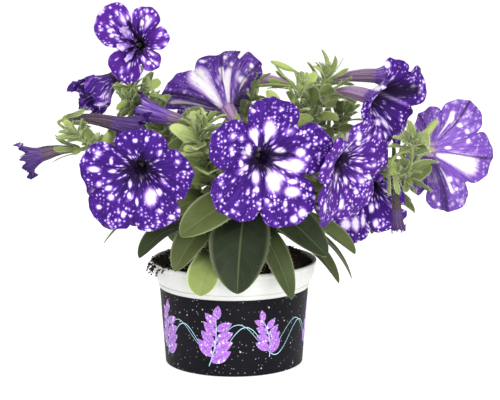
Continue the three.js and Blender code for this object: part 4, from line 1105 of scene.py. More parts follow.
def blade_points(kind, root, tip, width, arch, hint, roll, phase):
    """Both faces of a folded blade on an arched line. hint is the way that its upper face looks."""
    line = unit(tip - root)
    normal = spun(unit(hint - line * (hint @ line)), line, roll)
    spine = (root, (root + tip) / 2 + normal * arch, tip)
    along, across = blade_places(kind)
    way = curve_way(spine, along[:, 0])
    side = unit(np.cross(way, normal))
    rise, fall = kind["form"]
    peak = rise / (rise + fall)
    outline = (np.maximum(along, 1e-6) / peak) ** rise * (np.maximum(1 - along, 0) / (1 - peak)) ** fall
    half = np.maximum(width / 2 * outline, kind["foot"] * (1 - along) ** 0.5)
    out = np.abs(across)
    lift = kind["fold"] * half * out ** 1.3
    vein = -0.3 * np.exp(-(across / 0.08) ** 2) * np.minimum(1, half / 4)
    quilt = 0.02 * half * np.cos(TURN * (6 * along - 1.6 * out)) * out * (1 - across ** 2)
    swing = np.sin(TURN * 1.7 * along + phase + (across > 0) * 1.9)
    edge = kind["wave"] * width * swing * out ** 3 * (1 - along)
    return blade_faces(kind, along, across, curve(spine, along[:, 0]), side, np.cross(side, way), half,
                       lift + quilt + edge, vein)


def add_blade(surface, hairs, kind, leaf, young, tone):
    for under, sheet in enumerate((leaf["top"], leaf["bottom"])):
        surface.grid(sheet, flip=under > 0, along=leaf["along"], across=leaf["across"], young=young,
                     tone=tone, under=under, size=kind["size"])
    add_edge_hairs(hairs, leaf, kind["fuzz"])


def small_leaf(stem, stem_index, leaf_index, tries):
    """How far up the leaves a leaf is, and its blade's root, tip, width, arch, hint and roll."""
    roll = dice(1000 * stem_index + 20 * leaf_index + tries + 7)
    line = stem_line(stem)
    share = (leaf_index + 0.5) / stem["leaves"]
    place = LEAF_START + LEAF_SPAN * share ** LEAF_CROWDING
    root = curve(line, place)
    way = curve_way(line, place)
    across = unit(np.cross(way, [1.0, 0.0, 0.0]))
    turn = (GOLDEN_ANGLE * leaf_index + (roll() - 0.5) * (20 + 24 * tries)) * DEGREE
    outward = around(across, np.cross(way, across), turn)
    low, high = LEAF_PITCHES
    pitch = (low + (high - low) * share + (roll() - 0.5) * (14 + 10 * tries)) * DEGREE
    long, short = LEAF_LENGTHS
    length = (long - (long - short) * share ** 0.8) * (0.86 + 0.28 * roll()) * (1 - 0.05 * tries)
    tip = root + unit(around(outward, way, pitch) + UP * 0.12) * length
    outside = unit(point([root[0], root[1] - LEAF_CENTRE_Y, 0]))
    hint = way * 0.3 + UP * 0.55 + outside * 0.7
    width = (0.56 - 0.2 * share) * SMALL_SLIM * length
    arch = (0.1 + 0.12 * roll()) * length
    return share, (root, tip, width, arch, hint, (roll() - 0.5) * 50)


def corner_tree(node):
    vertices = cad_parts[node].data.vertices
    tree = KDTree(len(vertices))
    for index, vertex in enumerate(vertices):
        tree.insert(vertex.co / MM, index)
    tree.balance()
    return tree


def chosen_leaf(tree, stem, stem_index, leaf_index):
    """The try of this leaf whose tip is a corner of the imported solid, or None if the part left it out."""
    for tries in range(LEAF_TRIES):
        share, blade = small_leaf(stem, stem_index, leaf_index, tries)
        if tree.find(Vector(blade[1]))[2] < LEAF_MATCH:
            return share, blade
    return None


class Hairs:
    """Short hairs, each a thin triangle, gathered for one piece."""

    def __init__(self, seed):
        self.random = np.random.default_rng(seed)
        self.roots = []
        self.ways = []

    def add(self, roots, ways, spread=0.45):
        ways = unit(ways + self.random.normal(0, spread, ways.shape))
        self.roots.append(roots)
        self.ways.append(ways)

    def build(self, name, slot, look):
        roots = np.concatenate(self.roots)
        ways = np.concatenate(self.ways)
        lengths = self.random.uniform(*HAIR_LENGTHS, len(roots))[:, None]
        across = unit(np.cross(ways, self.random.normal(0, 1, ways.shape))) * HAIR_WIDTH / 2
        points = np.stack([roots - across, roots + across, roots + ways * lengths], axis=1).reshape(-1, 3)
        surface = Surface("part")
        surface.triangles(points, np.arange(len(points)).reshape(-1, 3), part=np.tile([0, 0, 1], len(roots)))
        return surface.build(name, slot, look)


def add_edge_hairs(hairs, leaf, per_mm):
    """Hairs along both edges of a blade, and a few on its face."""
    for column, sign in ((0, -1), (-1, 1)):
        edge = leaf["top"][:, column]
        steps = np.linalg.norm(np.diff(edge, axis=0), axis=1)
        count = int(steps.sum() * per_mm)
        place = hairs.random.uniform(0, steps.sum(), count)
        index = np.searchsorted(np.cumsum(steps), place).clip(0, len(steps) - 1)
        share = hairs.random.uniform(0, 1, count)[:, None]
        roots = edge[index] * (1 - share) + edge[index + 1] * share
        hairs.add(roots, leaf["side"][index] * sign)
    rows, columns = leaf["top"].shape[:2]
    count = int(0.4 * per_mm ** 2 * rows)
    row = hairs.random.integers(1, rows - 1, count)
    column = hairs.random.integers(1, columns - 1, count)
    hairs.add(leaf["top"][row, column], leaf["normal"][row], 0.6)


def add_rod_hairs(hairs, centres, rings, per_mm):
    steps = np.linalg.norm(np.diff(centres, axis=0), axis=1)
    count = int(steps.sum() * per_mm)
    index = hairs.random.choice(len(steps), count, p=steps / steps.sum())
    column = hairs.random.integers(0, rings.shape[1], count)
    share = hairs.random.uniform(0, 1, count)[:, None]
    roots = rings[index, column] * (1 - share) + rings[index + 1, column] * share
    hairs.add(roots, unit(roots - (centres[index] * (1 - share) + centres[index + 1] * share)), 0.35)


def add_stem(surface, hairs, line):
    count, sides = STEM_GRID
    places = np.linspace(0, 1, count)
    centres = curve(line, places)
    run = STEM_DEPTH + np.concatenate([[0], np.cumsum(np.linalg.norm(np.diff(centres, axis=0), axis=1))])
    radii = STEM_RADIUS + (STEM_TIP_RADIUS - STEM_RADIUS) * run / run[-1]
    add_green_rod(surface, hairs, centres, radii, sides, STALK_HAIRS, 0.55, along=places[:, None])


def add_stalk(surface, hairs, line, young):
    count, sides = STALK_GRID
    centres = curve(line, np.linspace(0, 1, count))
    add_green_rod(surface, hairs, centres, np.full(count, STALK_RADIUS), sides, STALK_HAIRS, young)


def add_calyx(surface, hairs, bloom, stem):
    """Sepals round the tube's end, the cup that holds them, the stalk, and the tube's hairs."""
    tube = tube_line(bloom)
    seat = curve(tube, 1)
    away = curve_way(tube, 1)
    _, right, _ = bloom_axes(bloom)
    other = unit(np.cross(away, right))
    across = np.cross(other, away)
    young = 0.8 - 0.3 * bloom["fade"]
    for order, turn in enumerate(full_turn(SEPALS)):
        spread = bloom["spread"] * (1 + SEPAL_UNEVEN * math.sin(3 * order + bloom["at"][1]))
        out = around(across, other, turn)
        add_sepal(surface, hairs, seat, away, out, around(other, -across, turn), spread, young)
    back = point(CUP_BACKS)[:, None, None]
    cup = seat + away * back + around(across, other, full_turn(CUP_SIDES)) * point(CUP_RADII)[:, None, None]
    surface.grid(cup, wrap=True, flip=True, young=young, plain=1, tone=0.5, size=1)
    foot = seat + away * CUP_LENGTH
    line = stem_line(stem)
    add_stalk(surface, hairs, stalk_line(line, nearest_along(line, foot), foot, away), young)
    count, sides = TUBE_HAIR_GRID
    along = np.linspace(*TUBE_HAIR_SPAN, count)
    radius = np.interp(along, *TUBE_PROFILE)[:, None] * bloom["slim"]
    rings = tube_rings(bloom, along, radius, full_turn(sides))
    add_rod_hairs(hairs, rings.mean(axis=1), rings, STALK_HAIRS)


def add_sepal(surface, hairs, seat, away, out, side, spread, young):
    """One spoon-shaped sepal, from the cup's rim outwards along the tube."""
    along, across = blade_places(SEPAL)
    half = SEPAL_WIDTH / 2 * np.interp(along, *SEPAL_OUTLINE)
    centre = seat + away * (FIT_GAP - SEPAL_LENGTH * along) + out * (CUP_RADIUS + spread * along ** 1.5)
    cupped = -0.25 * half * across ** 2 * (1 - along)
    leaf = blade_faces(SEPAL, along, across, centre, np.broadcast_to(side, centre.shape),
                       np.broadcast_to(out, centre.shape), half, cupped)
    add_blade(surface, hairs, SEPAL, leaf, young, 0.5)


def add_bud(surface, hairs, stem, along, foot, tip, radius):
    foot, tip = point(foot), point(tip)
    count, sides = BUD_GRID
    places = np.linspace(0, 1, count)
    radii = radius * np.interp(places, *BUD_OUTLINE)
    add_green_rod(surface, hairs, curve((foot, tip), places), radii, sides, BUD_HAIRS, 1, tone=0.7)
    add_stalk(surface, hairs, stalk_line(stem_line(stem), along, foot, unit(foot - tip)), 0.8)


def add_tuft(surface, hairs, screen, place, way, count, length, seed, young, form):
    """Small young leaves in a rosette round a shoot, the outer ones spread and the inner ones upright, but
    none that would grow through a petal."""
    roll = dice(seed)
    low, high, slim, wide = form
    across = unit(np.cross(way, [0.31, 0.9, 0.3]))
    other = np.cross(way, across)
    for order in range(count):
        share = order / count
        outward = around(across, other, (GOLDEN_ANGLE * order + 50 * roll()) * DEGREE)
        pitch = (low + (high - low) * share + 26 * (roll() - 0.5)) * DEGREE
        direction = unit(around(outward, way, pitch) + UP * 0.15)
        size = length * (0.75 + 0.5 * roll()) * (1 - 0.4 * share)
        root = place + way * (0.36 * share * length)
        width = size * (slim + (wide - slim) * roll())
        if screen.ray_cast(Vector(root), Vector(direction), size + 1.5)[0] is not None:
            continue
        leaf = blade_points(TINY, root, root + direction * size, width, 0.16 * size, way - outward * 0.2,
                            30 * (roll() - 0.5), order)
        add_blade(surface, hairs, TINY, leaf, young, roll())


def add_large_leaf(surface, hairs, stem, order, along, tip, width, arch, roll, young):
    yellow = young > YELLOW_FROM
    kind = LARGE_ROUND if yellow else LARGE
    leaf = blade_points(kind, curve(stem_line(stem), along), point(tip), width, arch, UP, roll, order)
    if yellow:
        young = YELLOW_FOOT + (young - YELLOW_FOOT) * smooth_step(leaf["along"], 0.42, 0.75)
    add_blade(surface, hairs, kind, leaf, young, dice(order + 50)())


def add_small_leaves(surface, hairs, screen, index, stem):
    """The leaves that wind up a stem, each with a tuft at its root."""
    tree = corner_tree(f"stem_{stem['name']}")
    count, length = stem["tuft"]
    for leaf_index in range(stem["leaves"]):
        chosen = chosen_leaf(tree, stem, index, leaf_index)
        if chosen is None:
            continue
        share, blade = chosen
        root, tip = blade[:2]
        roll = dice(leaf_index + 90 * index)
        young = 0.3 + 0.62 * share + stem["young"]
        add_blade(surface, hairs, SMALL, blade_points(SMALL, *blade, leaf_index), young, roll())
        way = unit(unit(tip - root) + UP * 0.5)
        add_tuft(surface, hairs, screen, root + way, way, count + int(3 * roll()), length,
                 SIDE_TUFT_SEED + 100 * index + leaf_index, young + 0.25, SIDE_TUFT)


def make_stem(index, stem, looks, screen):
    surface = Surface("along", "across", "young", "tone", "under", "plain", "size")
    hairs = Hairs(HAIR_SEED + index)
    line = stem_line(stem)
    add_stem(surface, hairs, line)
    for bloom in BLOOMS:
        if bloom["stem"] == stem["name"]:
            add_calyx(surface, hairs, bloom, stem)
    for owner, *bud in BUDS:
        if owner == stem["name"]:
            add_bud(surface, hairs, stem, *bud)
    for order, (owner, *leaf) in enumerate(LARGE_LEAVES):
        if owner == stem["name"]:
            add_large_leaf(surface, hairs, stem, order, *leaf)
    add_small_leaves(surface, hairs, screen, index, stem)
    way = unit(curve_way(line, 1) + UP * 0.4)
    add_tuft(surface, hairs, screen, curve(line, 0.97), way, END_TUFT_LEAVES, stem["top"],
             END_TUFT_SEED + index, 0.88 + stem["young"], END_TUFT)
    for order, (owner, place, way, count, length, young) in enumerate(TUFTS):
        if owner == stem["name"]:
            add_tuft(surface, hairs, screen, curve(line, place), unit(point(way)), count, length,
                     TUFT_SEED + order, young, SIDE_TUFT)
    node = f"stem_{stem['name']}"
    surface.build(f"{node}_leaves", "leaf_green", looks["leaf"], [node])
    hairs.build(f"{node}_hairs", "leaf_green", looks["hair"])


# Pot, sleeve and soil


def wall_radius(height):
    return POT_BASE_RADIUS + (POT_SHOULDER_RADIUS - POT_BASE_RADIUS) * (height / POT_SHOULDER_HEIGHT)


def turned_grid(profile):
    radius, height = np.array(profile, float).T[..., None]
    angle = full_turn(TURN_STEPS)
    return np.stack([radius * np.sin(angle), -radius * np.cos(angle), height + 0 * angle], axis=-1)


def pot_profile():
    """Radius and height from the middle of the base up the outside, over the rim and down the inside."""
    foot = [(0.01, 0), (POT_BASE_RADIUS - 1.2, 0), (POT_BASE_RADIUS - 0.4, 0.25), (POT_BASE_RADIUS, 1.0)]
    shoulder = [(POT_SHOULDER_RADIUS, POT_SHOULDER_HEIGHT), (POT_SHOULDER_RADIUS + 1.2, POT_SHOULDER_HEIGHT),
                (POT_SHOULDER_RADIUS + 1.7, POT_SHOULDER_HEIGHT + 0.5)]
    collar = [(POT_RIM_RADIUS - inset, height) for inset, height in COLLAR]
    inside = [(wall_radius(POT_SHOULDER_HEIGHT) - POT_WALL, POT_SHOULDER_HEIGHT),
              (wall_radius(0) - POT_WALL, POT_FLOOR), (0.01, POT_FLOOR)]
    return foot + shoulder + collar + inside


def make_pot(looks):
    surface = Surface()
    surface.grid(turned_grid(pot_profile()), wrap=True)
    pot = surface.build("pot_shell", "pot_plastic", looks["pot"], ["pot"], crease=SHARP_EDGE)
    for angle in full_turn(DRAIN_HOLES):
        drill = add_drill(DRAIN_CIRCLE * math.cos(angle), DRAIN_CIRCLE * math.sin(angle))
        cut = pot.modifiers.new("drain", "BOOLEAN")
        cut.operation = "DIFFERENCE"
        cut.object = drill
        with bpy.context.temp_override(object=pot, active_object=pot):
            bpy.ops.object.modifier_apply(modifier=cut.name)
        bpy.data.objects.remove(drill)


def add_drill(x, y):
    angle = full_turn(DRAIN_SIDES)
    ring = np.stack([x + DRAIN_RADIUS * np.cos(angle), y + DRAIN_RADIUS * np.sin(angle)], axis=1)
    heights = (-DRAIN_MARGIN, DRAIN_MARGIN + POT_FLOOR)
    points = [(*place * MM, height * MM) for height in heights for place in ring]
    low = list(range(DRAIN_SIDES))
    following = low[1:] + low[:1]
    sides = [(i, j, DRAIN_SIDES + j, DRAIN_SIDES + i) for i, j in zip(low, following)]
    mesh = bpy.data.meshes.new("drill")
    mesh.from_pydata(points, [], [*sides, low[::-1], [DRAIN_SIDES + i for i in low]])
    return placed("drill", mesh)


def sleeve_radius(height):
    return wall_radius(height) + FIT_GAP + SLEEVE_THICKNESS


def make_sleeve(looks):
    surface = Surface()
    heights = np.linspace(SLEEVE_BOTTOM, SLEEVE_TOP, SLEEVE_ROWS)
    outer = [(sleeve_radius(height), height) for height in heights]
    inner = [(radius - SLEEVE_THICKNESS, height) for radius, height in reversed(outer)]
    lip = (sleeve_radius(SLEEVE_TOP) - 0.2, SLEEVE_TOP + 0.06)
    surface.grid(turned_grid([*outer, lip, *inner, outer[0]]), wrap=True)
    surface.build("sleeve_band", "sleeve_print", looks["sleeve"], ["pot_sleeve"], crease=SHARP_EDGE)
    make_print(looks)


def on_sleeve(run, height, lift=PRINT_LIFT):
    """Place on the sleeve at a run round it, from the front, and a height."""
    radius = sleeve_radius(height) + lift
    angle = run / sleeve_radius(SLEEVE_TOP / 2)
    return np.stack([radius * np.sin(angle), -radius * np.cos(angle), height + 0 * angle], axis=-1)


def add_flat_leaf(surface, run, height, degrees, length, width):
    """Pointed oval laid on the sleeve."""
    rows, columns = SPRIG_LEAF_GRID
    along = np.linspace(0, 1, rows)[:, None]
    across = np.linspace(-1, 1, columns)[None]
    forward = along * length
    sideways = width / 2 * np.sin(math.pi * along ** 0.85) ** 0.9 * across
    turn = degrees * DEGREE
    u = run + forward * math.sin(turn) + sideways * math.cos(turn)
    v = height + forward * math.cos(turn) - sideways * math.sin(turn)
    surface.grid(on_sleeve(u, v), flip=True, across=across)


def make_print(looks):
    surface = Surface("tint", "across")
    girth = TURN * sleeve_radius(SLEEVE_TOP / 2)
    for middle, swing, waves, phase, half in WAVES:
        u = np.linspace(-girth / 2, girth / 2, WAVE_STEPS)[:, None] + np.zeros((1, 2))
        v = middle + swing * np.sin(TURN * waves * u / girth + phase) + np.array([[-half, half]])
        surface.grid(on_sleeve(u, v, PRINT_LIFT / 2), tint=1)
    for sprig in SPRIGS:
        add_sprig(surface, *sprig)
    surface.build("sleeve_sprigs", "sleeve_print", looks["print"])


def add_sprig(surface, run, foot, size, lean):
    """A bent stalk with leaves to both sides in turn and one at its tip."""
    height = SPRIG_HEIGHT * size

    def bend(share):
        return run + height * share * math.sin(lean * DEGREE) + SPRIG_BEND * np.sin(math.pi * share)

    along = np.linspace(0, 1, SPRIG_STEPS)[:, None]
    stalk = bend(along) + np.array([[-SPRIG_STALK, SPRIG_STALK]])
    surface.grid(on_sleeve(stalk, foot + height * along + 0 * stalk), flip=True, tint=1)
    last = SPRIG_LEAVES - 1
    for leaf in range(SPRIG_LEAVES):
        share = 0.1 + 0.9 * leaf / last
        side = 0 if leaf == last else 1 - 2 * (leaf % 2)
        length = SPRIG_LEAF_LENGTH * size * (1.05 - 0.4 * share)
        width = SPRIG_LEAF_WIDTH * size * (1.05 - 0.35 * share)
        degrees = lean + SPRIG_LEAF_SPREAD * side
        add_flat_leaf(surface, bend(share), foot + height * share, degrees, length, width)


def make_soil(looks):
    surface = Surface("part")
    radii = np.linspace(0.01, SOIL_RADIUS, SOIL_ROWS)[:, None]
    angle = full_turn(SOIL_COLUMNS)
    x = radii * np.cos(angle)
    y = radii * np.sin(angle)
    lumps = [noise.fractal(Vector((a * 0.22, b * 0.22, 3.1)), 0.9, 2.1, 4) for a, b in zip(x.flat, y.flat)]
    rough = np.array(lumps).reshape(x.shape) * (1 - smooth_step(radii, SOIL_RADIUS - 4, SOIL_RADIUS))
    bed = np.stack([x, y, soil_height(x, y) + SOIL_ROUGHNESS * rough], axis=-1)
    surface.grid(bed, wrap=True)
    girth, height = np.array(SOIL_SIDE).T[..., None]
    skirt = np.stack([girth * np.cos(angle), girth * np.sin(angle), height + 0 * angle], axis=-1)
    skirt[0] = bed[-1]
    surface.grid(skirt, wrap=True)
    add_crumbs(surface)
    add_spill(surface)
    surface.build("soil_bed", "potting_soil", looks["soil"], ["soil"])
    make_roots(looks)


def off_axis(radius, turn, height=0):
    """A place at a distance from the pot's axis, a turn round it and a height."""
    return point([radius * math.cos(turn), radius * math.sin(turn), height])


def add_crumb(surface, random, place, size):
    """A rough block of eight faces."""
    corners = np.array([[1, 0, 0], [-1, 0, 0], [0, 1, 0], [0, -1, 0], [0, 0, 1], [0, 0, -1]], float)
    faces = [[0, 2, 4], [2, 1, 4], [1, 3, 4], [3, 0, 4], [2, 0, 5], [1, 2, 5], [3, 1, 5], [0, 3, 5]]
    shape = corners * random.uniform(0.6, 1.25, (6, 3)) * size
    turned = unit(random.normal(0, 1, (3, 3)))
    surface.triangles(place + shape @ np.linalg.qr(turned)[0], faces, part=random.uniform(0.3, 1))


def add_crumbs(surface):
    """Lumps of soil on the surface."""
    random = np.random.default_rng(CRUMB_SEED)
    for _ in range(CRUMBS):
        radius = (SOIL_RADIUS - 1.0) * random.uniform() ** 0.4
        place = off_axis(radius, random.uniform(0, TURN))
        size = random.uniform(*CRUMB_SIZES)
        place[2] = soil_height(place[0], place[1]) + 0.5 * size
        add_crumb(surface, random, place, size)


def spill_roots():
    """Lines of the roots that hang over the pot's left rim."""
    random = np.random.default_rng(ROOT_SEED)
    lines = []
    for _ in range(SPILL_ROOTS):
        turn = random.normal(SPILL_TURN, 0.2)
        way = off_axis(1, turn)
        side = off_axis(1, turn + math.pi / 2)
        over = way * (POT_RIM_RADIUS + 0.5) + UP * (POT_HEIGHT + 0.4)
        bend = over + way * random.uniform(1, 4) + side * random.normal(0, 3) - UP * 3
        end = over + way * random.uniform(0.5, 4) + side * random.normal(0, 4) - UP * random.uniform(3, 9)
        lines.append([way * 50 + UP * 74, over, bend, end])
    return lines


def add_spill(surface):
    """Crumbs on the rim's left side and along the roots that hang over it."""
    random = np.random.default_rng(SPILL_SEED)
    for _ in range(SPILL_CRUMBS):
        turn = random.normal(SPILL_TURN, 0.26)
        radius = random.uniform(SOIL_RADIUS - 3, POT_RIM_RADIUS + 0.4)
        place = off_axis(radius, turn, POT_HEIGHT + random.uniform(-1, 1))
        add_crumb(surface, random, place, random.uniform(0.5, 1.5))
    for line in spill_roots():
        for share in random.uniform(0.35, 1, 9):
            add_crumb(surface, random, curve(line, share), random.uniform(0.3, 1.1))


def make_roots(looks):
    """Fine pale roots that lie on the soil, and a few that hang over the rim."""
    random = np.random.default_rng(ROOT_SEED)
    surface = Surface()
    for line in spill_roots():
        centres = curve(line, np.linspace(0, 1, ROOT_STEPS))
        add_rod(surface, centres, np.linspace(0.3, 0.12, ROOT_STEPS), 5)
    for _ in range(LYING_ROOTS):
        turn = random.uniform(0, TURN)
        x, y, _ = off_axis(random.uniform(22, 54), turn)
        heading = turn + random.uniform(-1.4, 1.4)
        path = []
        for _ in range(ROOT_STEPS):
            path.append((x, y, soil_height(x, y) + 0.9))
            heading += random.uniform(-0.5, 0.5)
            x += ROOT_STEP * math.cos(heading)
            y += ROOT_STEP * math.sin(heading)
        path = np.array([place for place in path if math.hypot(*place[:2]) < SOIL_RADIUS - 1])
        if len(path) > 4:
            add_rod(surface, path, np.linspace(0.24, 0.1, len(path)), 5)
    surface.build("soil_roots", "potting_soil", looks["root"])


# Materials


def petal_look():
    look = Look("petal_violet_velvet", Roughness=0.6, Sheen_Weight=0.02, Sheen_Roughness=0.4,
                Specular_IOR_Level=0.1)
    reach, lobe, wilt, x, y, seed = map(look.channel, ("reach", "lobe", "wilt", "flat_x", "flat_y", "seed"))
    radius = look.most(look.math("SQRT", x * x + y * y), 0.5)
    flat = look.vector(x, y, seed)
    # Streaks that run out from the throat: fast round it, slow along it
    streak_place = look.vector(x / radius * 9, y / radius * 9, radius * 0.05 + seed)
    streaks = look.noise(2.0, streak_place, detail=3)
    soft_streaks = look.soft(streaks, 0.32, 0.72)
    cloud = look.noise(0.09, flat)
    blotch = look.channel("blotch") + (streaks - 0.5) * 0.55 + (look.noise(0.8, flat) - 0.5) * 0.4
    specks, spots = petal_specks(look, seed, cloud, flat)
    thin = 1 - wilt * 0.6
    marks = dict(haze=look.soft(blotch, -0.38, 0.12) * thin, white=look.soft(blotch, -0.08, 0.52) * thin,
                 specks=specks * thin, spots=spots * thin)
    front = petal_front(look, reach, lobe, streaks, soft_streaks, cloud, marks)
    front = look.mix(wilt * 0.3, front, PETAL["wilted"])
    rear = petal_back(look, reach, lobe, wilt, soft_streaks, streak_place, marks)
    rear = look.mix(look.soft(look.channel("dark"), -0.1, 0.6) * 0.8, rear, PETAL_BACK["shade"])
    return look.finish(look.mix(look.channel("back"), front, rear), streaks * 0.6 + look.noise(1800) * 0.35,
                       0.4, 0.0007)


def petal_specks(look, seed, cloud, flat):
    """Lilac rings and white middles of the specks, in three sizes, fewer where the cloud is dark and none of
    them quite round."""
    place_x = look.channel("drawn_x") + seed * 7 + (look.noise(0.55, flat) - 0.5) * 1.5
    place_y = look.channel("drawn_y") + (look.noise(0.71, flat) - 0.5) * 1.5
    place = look.vector(place_x, place_y, 0)
    crowd = look.most(look.soft(cloud, 0.36, 0.6, 0.4, 1.0), look.channel("warm"))
    rings, middles = [], []
    for scale, floor, radius in ((0.4, 0.5, 1.1), (0.27, 0.53, 1.65), (0.15, 0.66, 2.8)):
        distance, number = look.cells(scale, place, "2D")
        largest = radius * scale
        size = look.most((number - floor) * (largest / (1 - floor)) * crowd, 0.0001)
        rings.append(look.soft(distance, size * 2.1, size * 0.5))
        plain = look.soft(size, 0.1 * largest, 0.75 * largest, 0.3, 1.0)
        middles.append(look.soft(distance, size * 1.1, 0) * plain)
    return look.most(*rings), look.most(*middles)


def petal_front(look, reach, lobe, streaks, soft_streaks, cloud, marks):
    """Deep violet with specks and blotches, a dark throat, and a dark vein along the middle of each lobe."""
    vein_width = look.soft(reach, 0.0, 0.9, 0.09, 0.012)
    vein = look.soft(lobe, vein_width, vein_width * 0.2) * look.soft(reach, 0.9, 0.3)
    wander = (streaks - 0.5) * 0.9
    # Painted shade, drawn nearly black: the dark strokes, crease valleys and the deep throat
    stroke = look.soft(look.channel("dark") + wander, -0.1, 0.75)
    throat = look.soft(reach + wander * 0.4, 0.2, 0.03)
    return look.layers(
        look.mix(cloud, *PETAL["deep"]),
        (soft_streaks, PETAL["streak"]),
        # Painted light: some blooms made lighter and redder, as if the lamps lit them more
        (look.channel("warm") * 0.55, PETAL["warm"]),
        # Painted shade at the notches, where one lobe overlaps the next
        (look.soft(lobe, 0.8, 1.0) * 0.55, PETAL["notch"]),
        (look.soft(reach + streaks * 0.5, 0.8, 0.3) * 0.75, PETAL["near"]),
        (look.most(marks["specks"], marks["haze"]) * 0.85, PETAL["lilac"]),
        (look.most(marks["spots"], marks["white"]), PETAL["white"]),
        (vein * (0.85 - marks["white"] * 0.6), PETAL["vein"]),
        (look.most(stroke, throat) * 0.96, PETAL["throat"]),
    )


def petal_back(look, reach, lobe, wilt, soft_streaks, streak_place, marks):
    """Paler lilac with dark veins, and a striped tube that turns brown as the bloom wilts."""
    net = abs(look.noise(1.6, streak_place, detail=4) - 0.5)
    lines = look.noise(3.2, streak_place)
    stripes = look.soft(lines, 0.42, 0.6)
    old_tube = look.mix(look.soft(lines, 0.46, 0.6), *PETAL_BACK["old_tube"])
    tube = look.mix(wilt, look.mix(stripes, *PETAL_BACK["fresh_tube"]), old_tube)
    faded = look.layers(
        look.mix(stripes, *PETAL_BACK["faded"]),
        (look.soft(reach, 0.5, 0.95) * 0.6, PETAL_BACK["faded_edge"]),
        (look.soft(wilt, 0.88, 1.0) * 0.75, old_tube),
    )
    return look.layers(
        look.mix(soft_streaks, *PETAL_BACK["ground"]),
        (look.soft(reach, 0.55, 1.0) * 0.7, PETAL_BACK["edge"]),
        # Painted light: the backs of some blooms made lighter, as if the lamps lit them more
        (look.channel("warm") * 0.4, PETAL_BACK["warm"]),
        (look.most(marks["haze"], marks["specks"] * 0.5) * 0.8, PETAL_BACK["lilac"]),
        (look.most(marks["white"], marks["spots"] * 0.4), PETAL_BACK["white"]),
        (look.soft(lobe, 0.07, 0.02) * 0.92, PETAL_BACK["rib"]),
        (look.soft(net, 0.022, 0.0) * 0.45, PETAL_BACK["net"]),
        (look.soft(reach, 0.1, -0.12), tube),
        (look.soft(wilt, 0.1, 0.9) * look.soft(reach, -0.28, 0.15) * 0.85, faded),
    )


def leaf_look():
    look = Look("leaf_green_hairy", Roughness=0.55, Sheen_Weight=0.02, Sheen_Roughness=0.45,
                Specular_IOR_Level=0.13)
    along, young, tone = map(look.channel, ("along", "young", "tone"))
    across = abs(look.channel("across"))
    blade = 1 - look.channel("plain")
    patches = look.noise(90, detail=3)
    green = look.layers(
        # The old green is darkened by painted shade of the blooms above the large leaves
        look.mix(patches, *LEAF["old_and_painted_shade"]),
        (young, look.mix(patches, *LEAF["fresh"])),
        # Young tips' own yellow-green, and painted light that lifts shaded shoots
        (look.soft(young, 0.95, 1.6, 0.0, 0.5), LEAF["freshest_and_painted_light"]),
        (tone * look.soft(young, 0.1, 0.5, 0.0, 0.5), LEAF["tone"]),
        (look.channel("under") * 0.35, LEAF["under"]),
    )
    # Painted shade: blades darker towards the foot, more on larger leaves, less on the youngest
    depth = (look.channel("size") * 0.45 + 0.38) * look.soft(young, 0.95, 1.5, 1.0, 0.4)
    green = look.mix(look.soft(along, 0.6, 0.05) * blade * depth, green, LEAF["foot"], "MULTIPLY")
    rib = look.soft(across, 0.055, 0.015) * blade
    rim = look.soft(across, 0.82, 1.0) * blade
    steps = look.math("FRACT", along * 7 - across * 2.0)
    side_vein = look.soft(abs(steps - 0.5), 0.055, 0.0) * blade * look.soft(across, 1.0, 0.6)
    green = look.layers(
        green,
        (side_vein * 0.07, LEAF["side_vein"]),
        (rib * look.soft(young, 0.0, 0.6, 0.22, 0.6), LEAF["rib"]),
        (rim * look.soft(young, 0.0, 0.6, 0.14, 0.8), LEAF["rim"]),
    )
    return look.finish(green, look.noise(900) * 0.5 - look.most(side_vein, rib) * 0.6, 0.45, 0.0005)


def hair_look():
    look = Look("pale_plant_hair", Roughness=0.6, Specular_IOR_Level=0.3)
    return look.finish(look.mix(look.channel("part"), *HAIR))


def stamen_look():
    # Painted shade: the anthers' cream darkened to sit in the throat's shadow
    look = Look("anther_cream_painted_shade", Roughness=0.6)
    return look.finish(look.mix(look.channel("part"), *ANTHER), look.noise(2500), 0.4, 0.0003)


def pot_look():
    look = Look("pot_white_plastic", Specular_IOR_Level=0.5)
    look.set("Roughness", look.soft(look.noise(140), 0.3, 0.7, 0.26, 0.38))
    return look.finish(look.mix(look.noise(60, detail=3), *POT_WHITE), look.noise(1400), 0.12, 0.0002)


def sleeve_look():
    look = Look("sleeve_night_print", Roughness=0.5, Specular_IOR_Level=0.07)
    place = look.place()
    small, _ = look.cells(360, place)
    large, number = look.cells(190, place)
    fleck = look.most(look.soft(small, 0.15, 0.09) * 0.55,
                      look.soft(large, 0.13, 0.08) * look.soft(number, 0.2, 0.9))
    base = look.mix(look.noise(35, detail=4), *SLEEVE_BLACK)
    return look.finish(look.mix(fleck, base, SLEEVE_FLECK), look.noise(1600), 0.1, 0.0002)


def print_look():
    look = Look("sleeve_sprig_ink", Roughness=0.45, Specular_IOR_Level=0.18)
    place = look.place()
    fine, _ = look.cells(700, place)
    large, number = look.cells(330, place)
    speck = look.most(look.soft(fine, 0.34, 0.16) * 0.8,
                      look.soft(large, 0.36, 0.2) * look.soft(number, 0.3, 0.7))
    ink = look.layers(
        look.mix(look.noise(160, detail=3), *PRINT_LILAC),
        (speck, PRINT_FLECK),
        (look.soft(abs(look.channel("across")), 0.1, 0.03) * 0.7, PRINT_RIB),
        (look.channel("tint"), PRINT_BLUE),
    )
    return look.finish(ink, look.noise(1600), 0.1, 0.0002)


def soil_look():
    look = Look("potting_soil_crumb", Roughness=0.95, Specular_IOR_Level=0.15)
    grain = look.noise(700, detail=4, roughness=0.7)
    soil = look.mix(look.channel("part") * 0.4, look.mix(grain, *SOIL_BROWN), CRUMB_BROWN)
    return look.finish(soil, grain, 0.9, 0.0012)


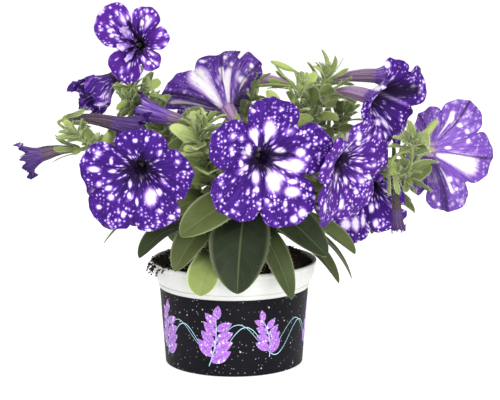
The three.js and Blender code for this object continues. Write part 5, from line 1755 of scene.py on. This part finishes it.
def root_look():
    look = Look("root_tan", Roughness=0.8)
    return look.finish(look.mix(look.noise(500), *ROOT_TAN), look.noise(2000), 0.3, 0.0002)


def floor_look():
    look = Look("studio_floor", Roughness=0.7, Specular_IOR_Level=0.2, Emission_Color=WHITE,
                Emission_Strength=FLOOR_GLOW)
    return look.finish(look.mix(look.noise(3), *FLOOR_GREY))


# Studio


def make_floor(look):
    mesh = bpy.data.meshes.new("floor")
    mesh.from_pydata(FLOOR_CORNERS, [], [(0, 1, 2, 3)])
    mesh.materials.append(look)
    floor = placed("floor", mesh)


def add_light(name, place, size, power):
    data = bpy.data.lights.new(name, "AREA")
    data.size = size
    data.energy = power
    lamp = placed(name, data)
    lamp.location = place
    lamp.rotation_euler = (Vector(LAMP_TARGET) - Vector(place)).to_track_quat("-Z", "Y").to_euler()


def make_world():
    """A white surround that lights the scene with less than it shows, so that the lamps give depth."""
    world = bpy.data.worlds.new("studio")
    world.use_nodes = True
    tree = world.node_tree
    background = tree.nodes["Background"]
    background.inputs["Color"].default_value = WHITE
    seen = tree.nodes.new("ShaderNodeLightPath").outputs["Is Camera Ray"]
    strength = tree.nodes.new("ShaderNodeMath")
    strength.operation = "MULTIPLY_ADD"
    tree.links.new(seen, strength.inputs[0])
    strength.inputs[1].default_value = WORLD_SEEN - WORLD_LIGHT
    strength.inputs[2].default_value = WORLD_LIGHT
    tree.links.new(strength.outputs[0], background.inputs["Strength"])
    bpy.context.scene.world = world


def make_studio():
    make_world()
    for name, lamp in LAMPS.items():
        add_light(name, *lamp)
    lens = bpy.data.cameras.new("camera")
    lens.sensor_width = SENSOR_WIDTH
    lens.lens = FOCAL_PIXELS * SENSOR_WIDTH / FRAME_WIDTH
    camera = placed("camera", lens)
    camera.location = CAMERA_PLACE
    camera.rotation_euler = ((90 - CAMERA_PITCH) * DEGREE, 0, 0)
    bpy.context.scene.camera = camera
    bpy.context.scene.view_settings.view_transform = "Standard"


looks = {
    "petal": petal_look(),
    "leaf": leaf_look(),
    "hair": hair_look(),
    "stamen": stamen_look(),
    "pot": pot_look(),
    "sleeve": sleeve_look(),
    "print": print_look(),
    "soil": soil_look(),
    "root": root_look(),
}
make_pot(looks)
make_sleeve(looks)
make_soil(looks)
for bloom in BLOOMS:
    make_bloom(bloom, looks)
make_stamens(looks)
screen = petal_screen()
for index, stem in enumerate(STEMS):
    make_stem(index, stem, looks, screen)
make_floor(floor_look())
make_studio()
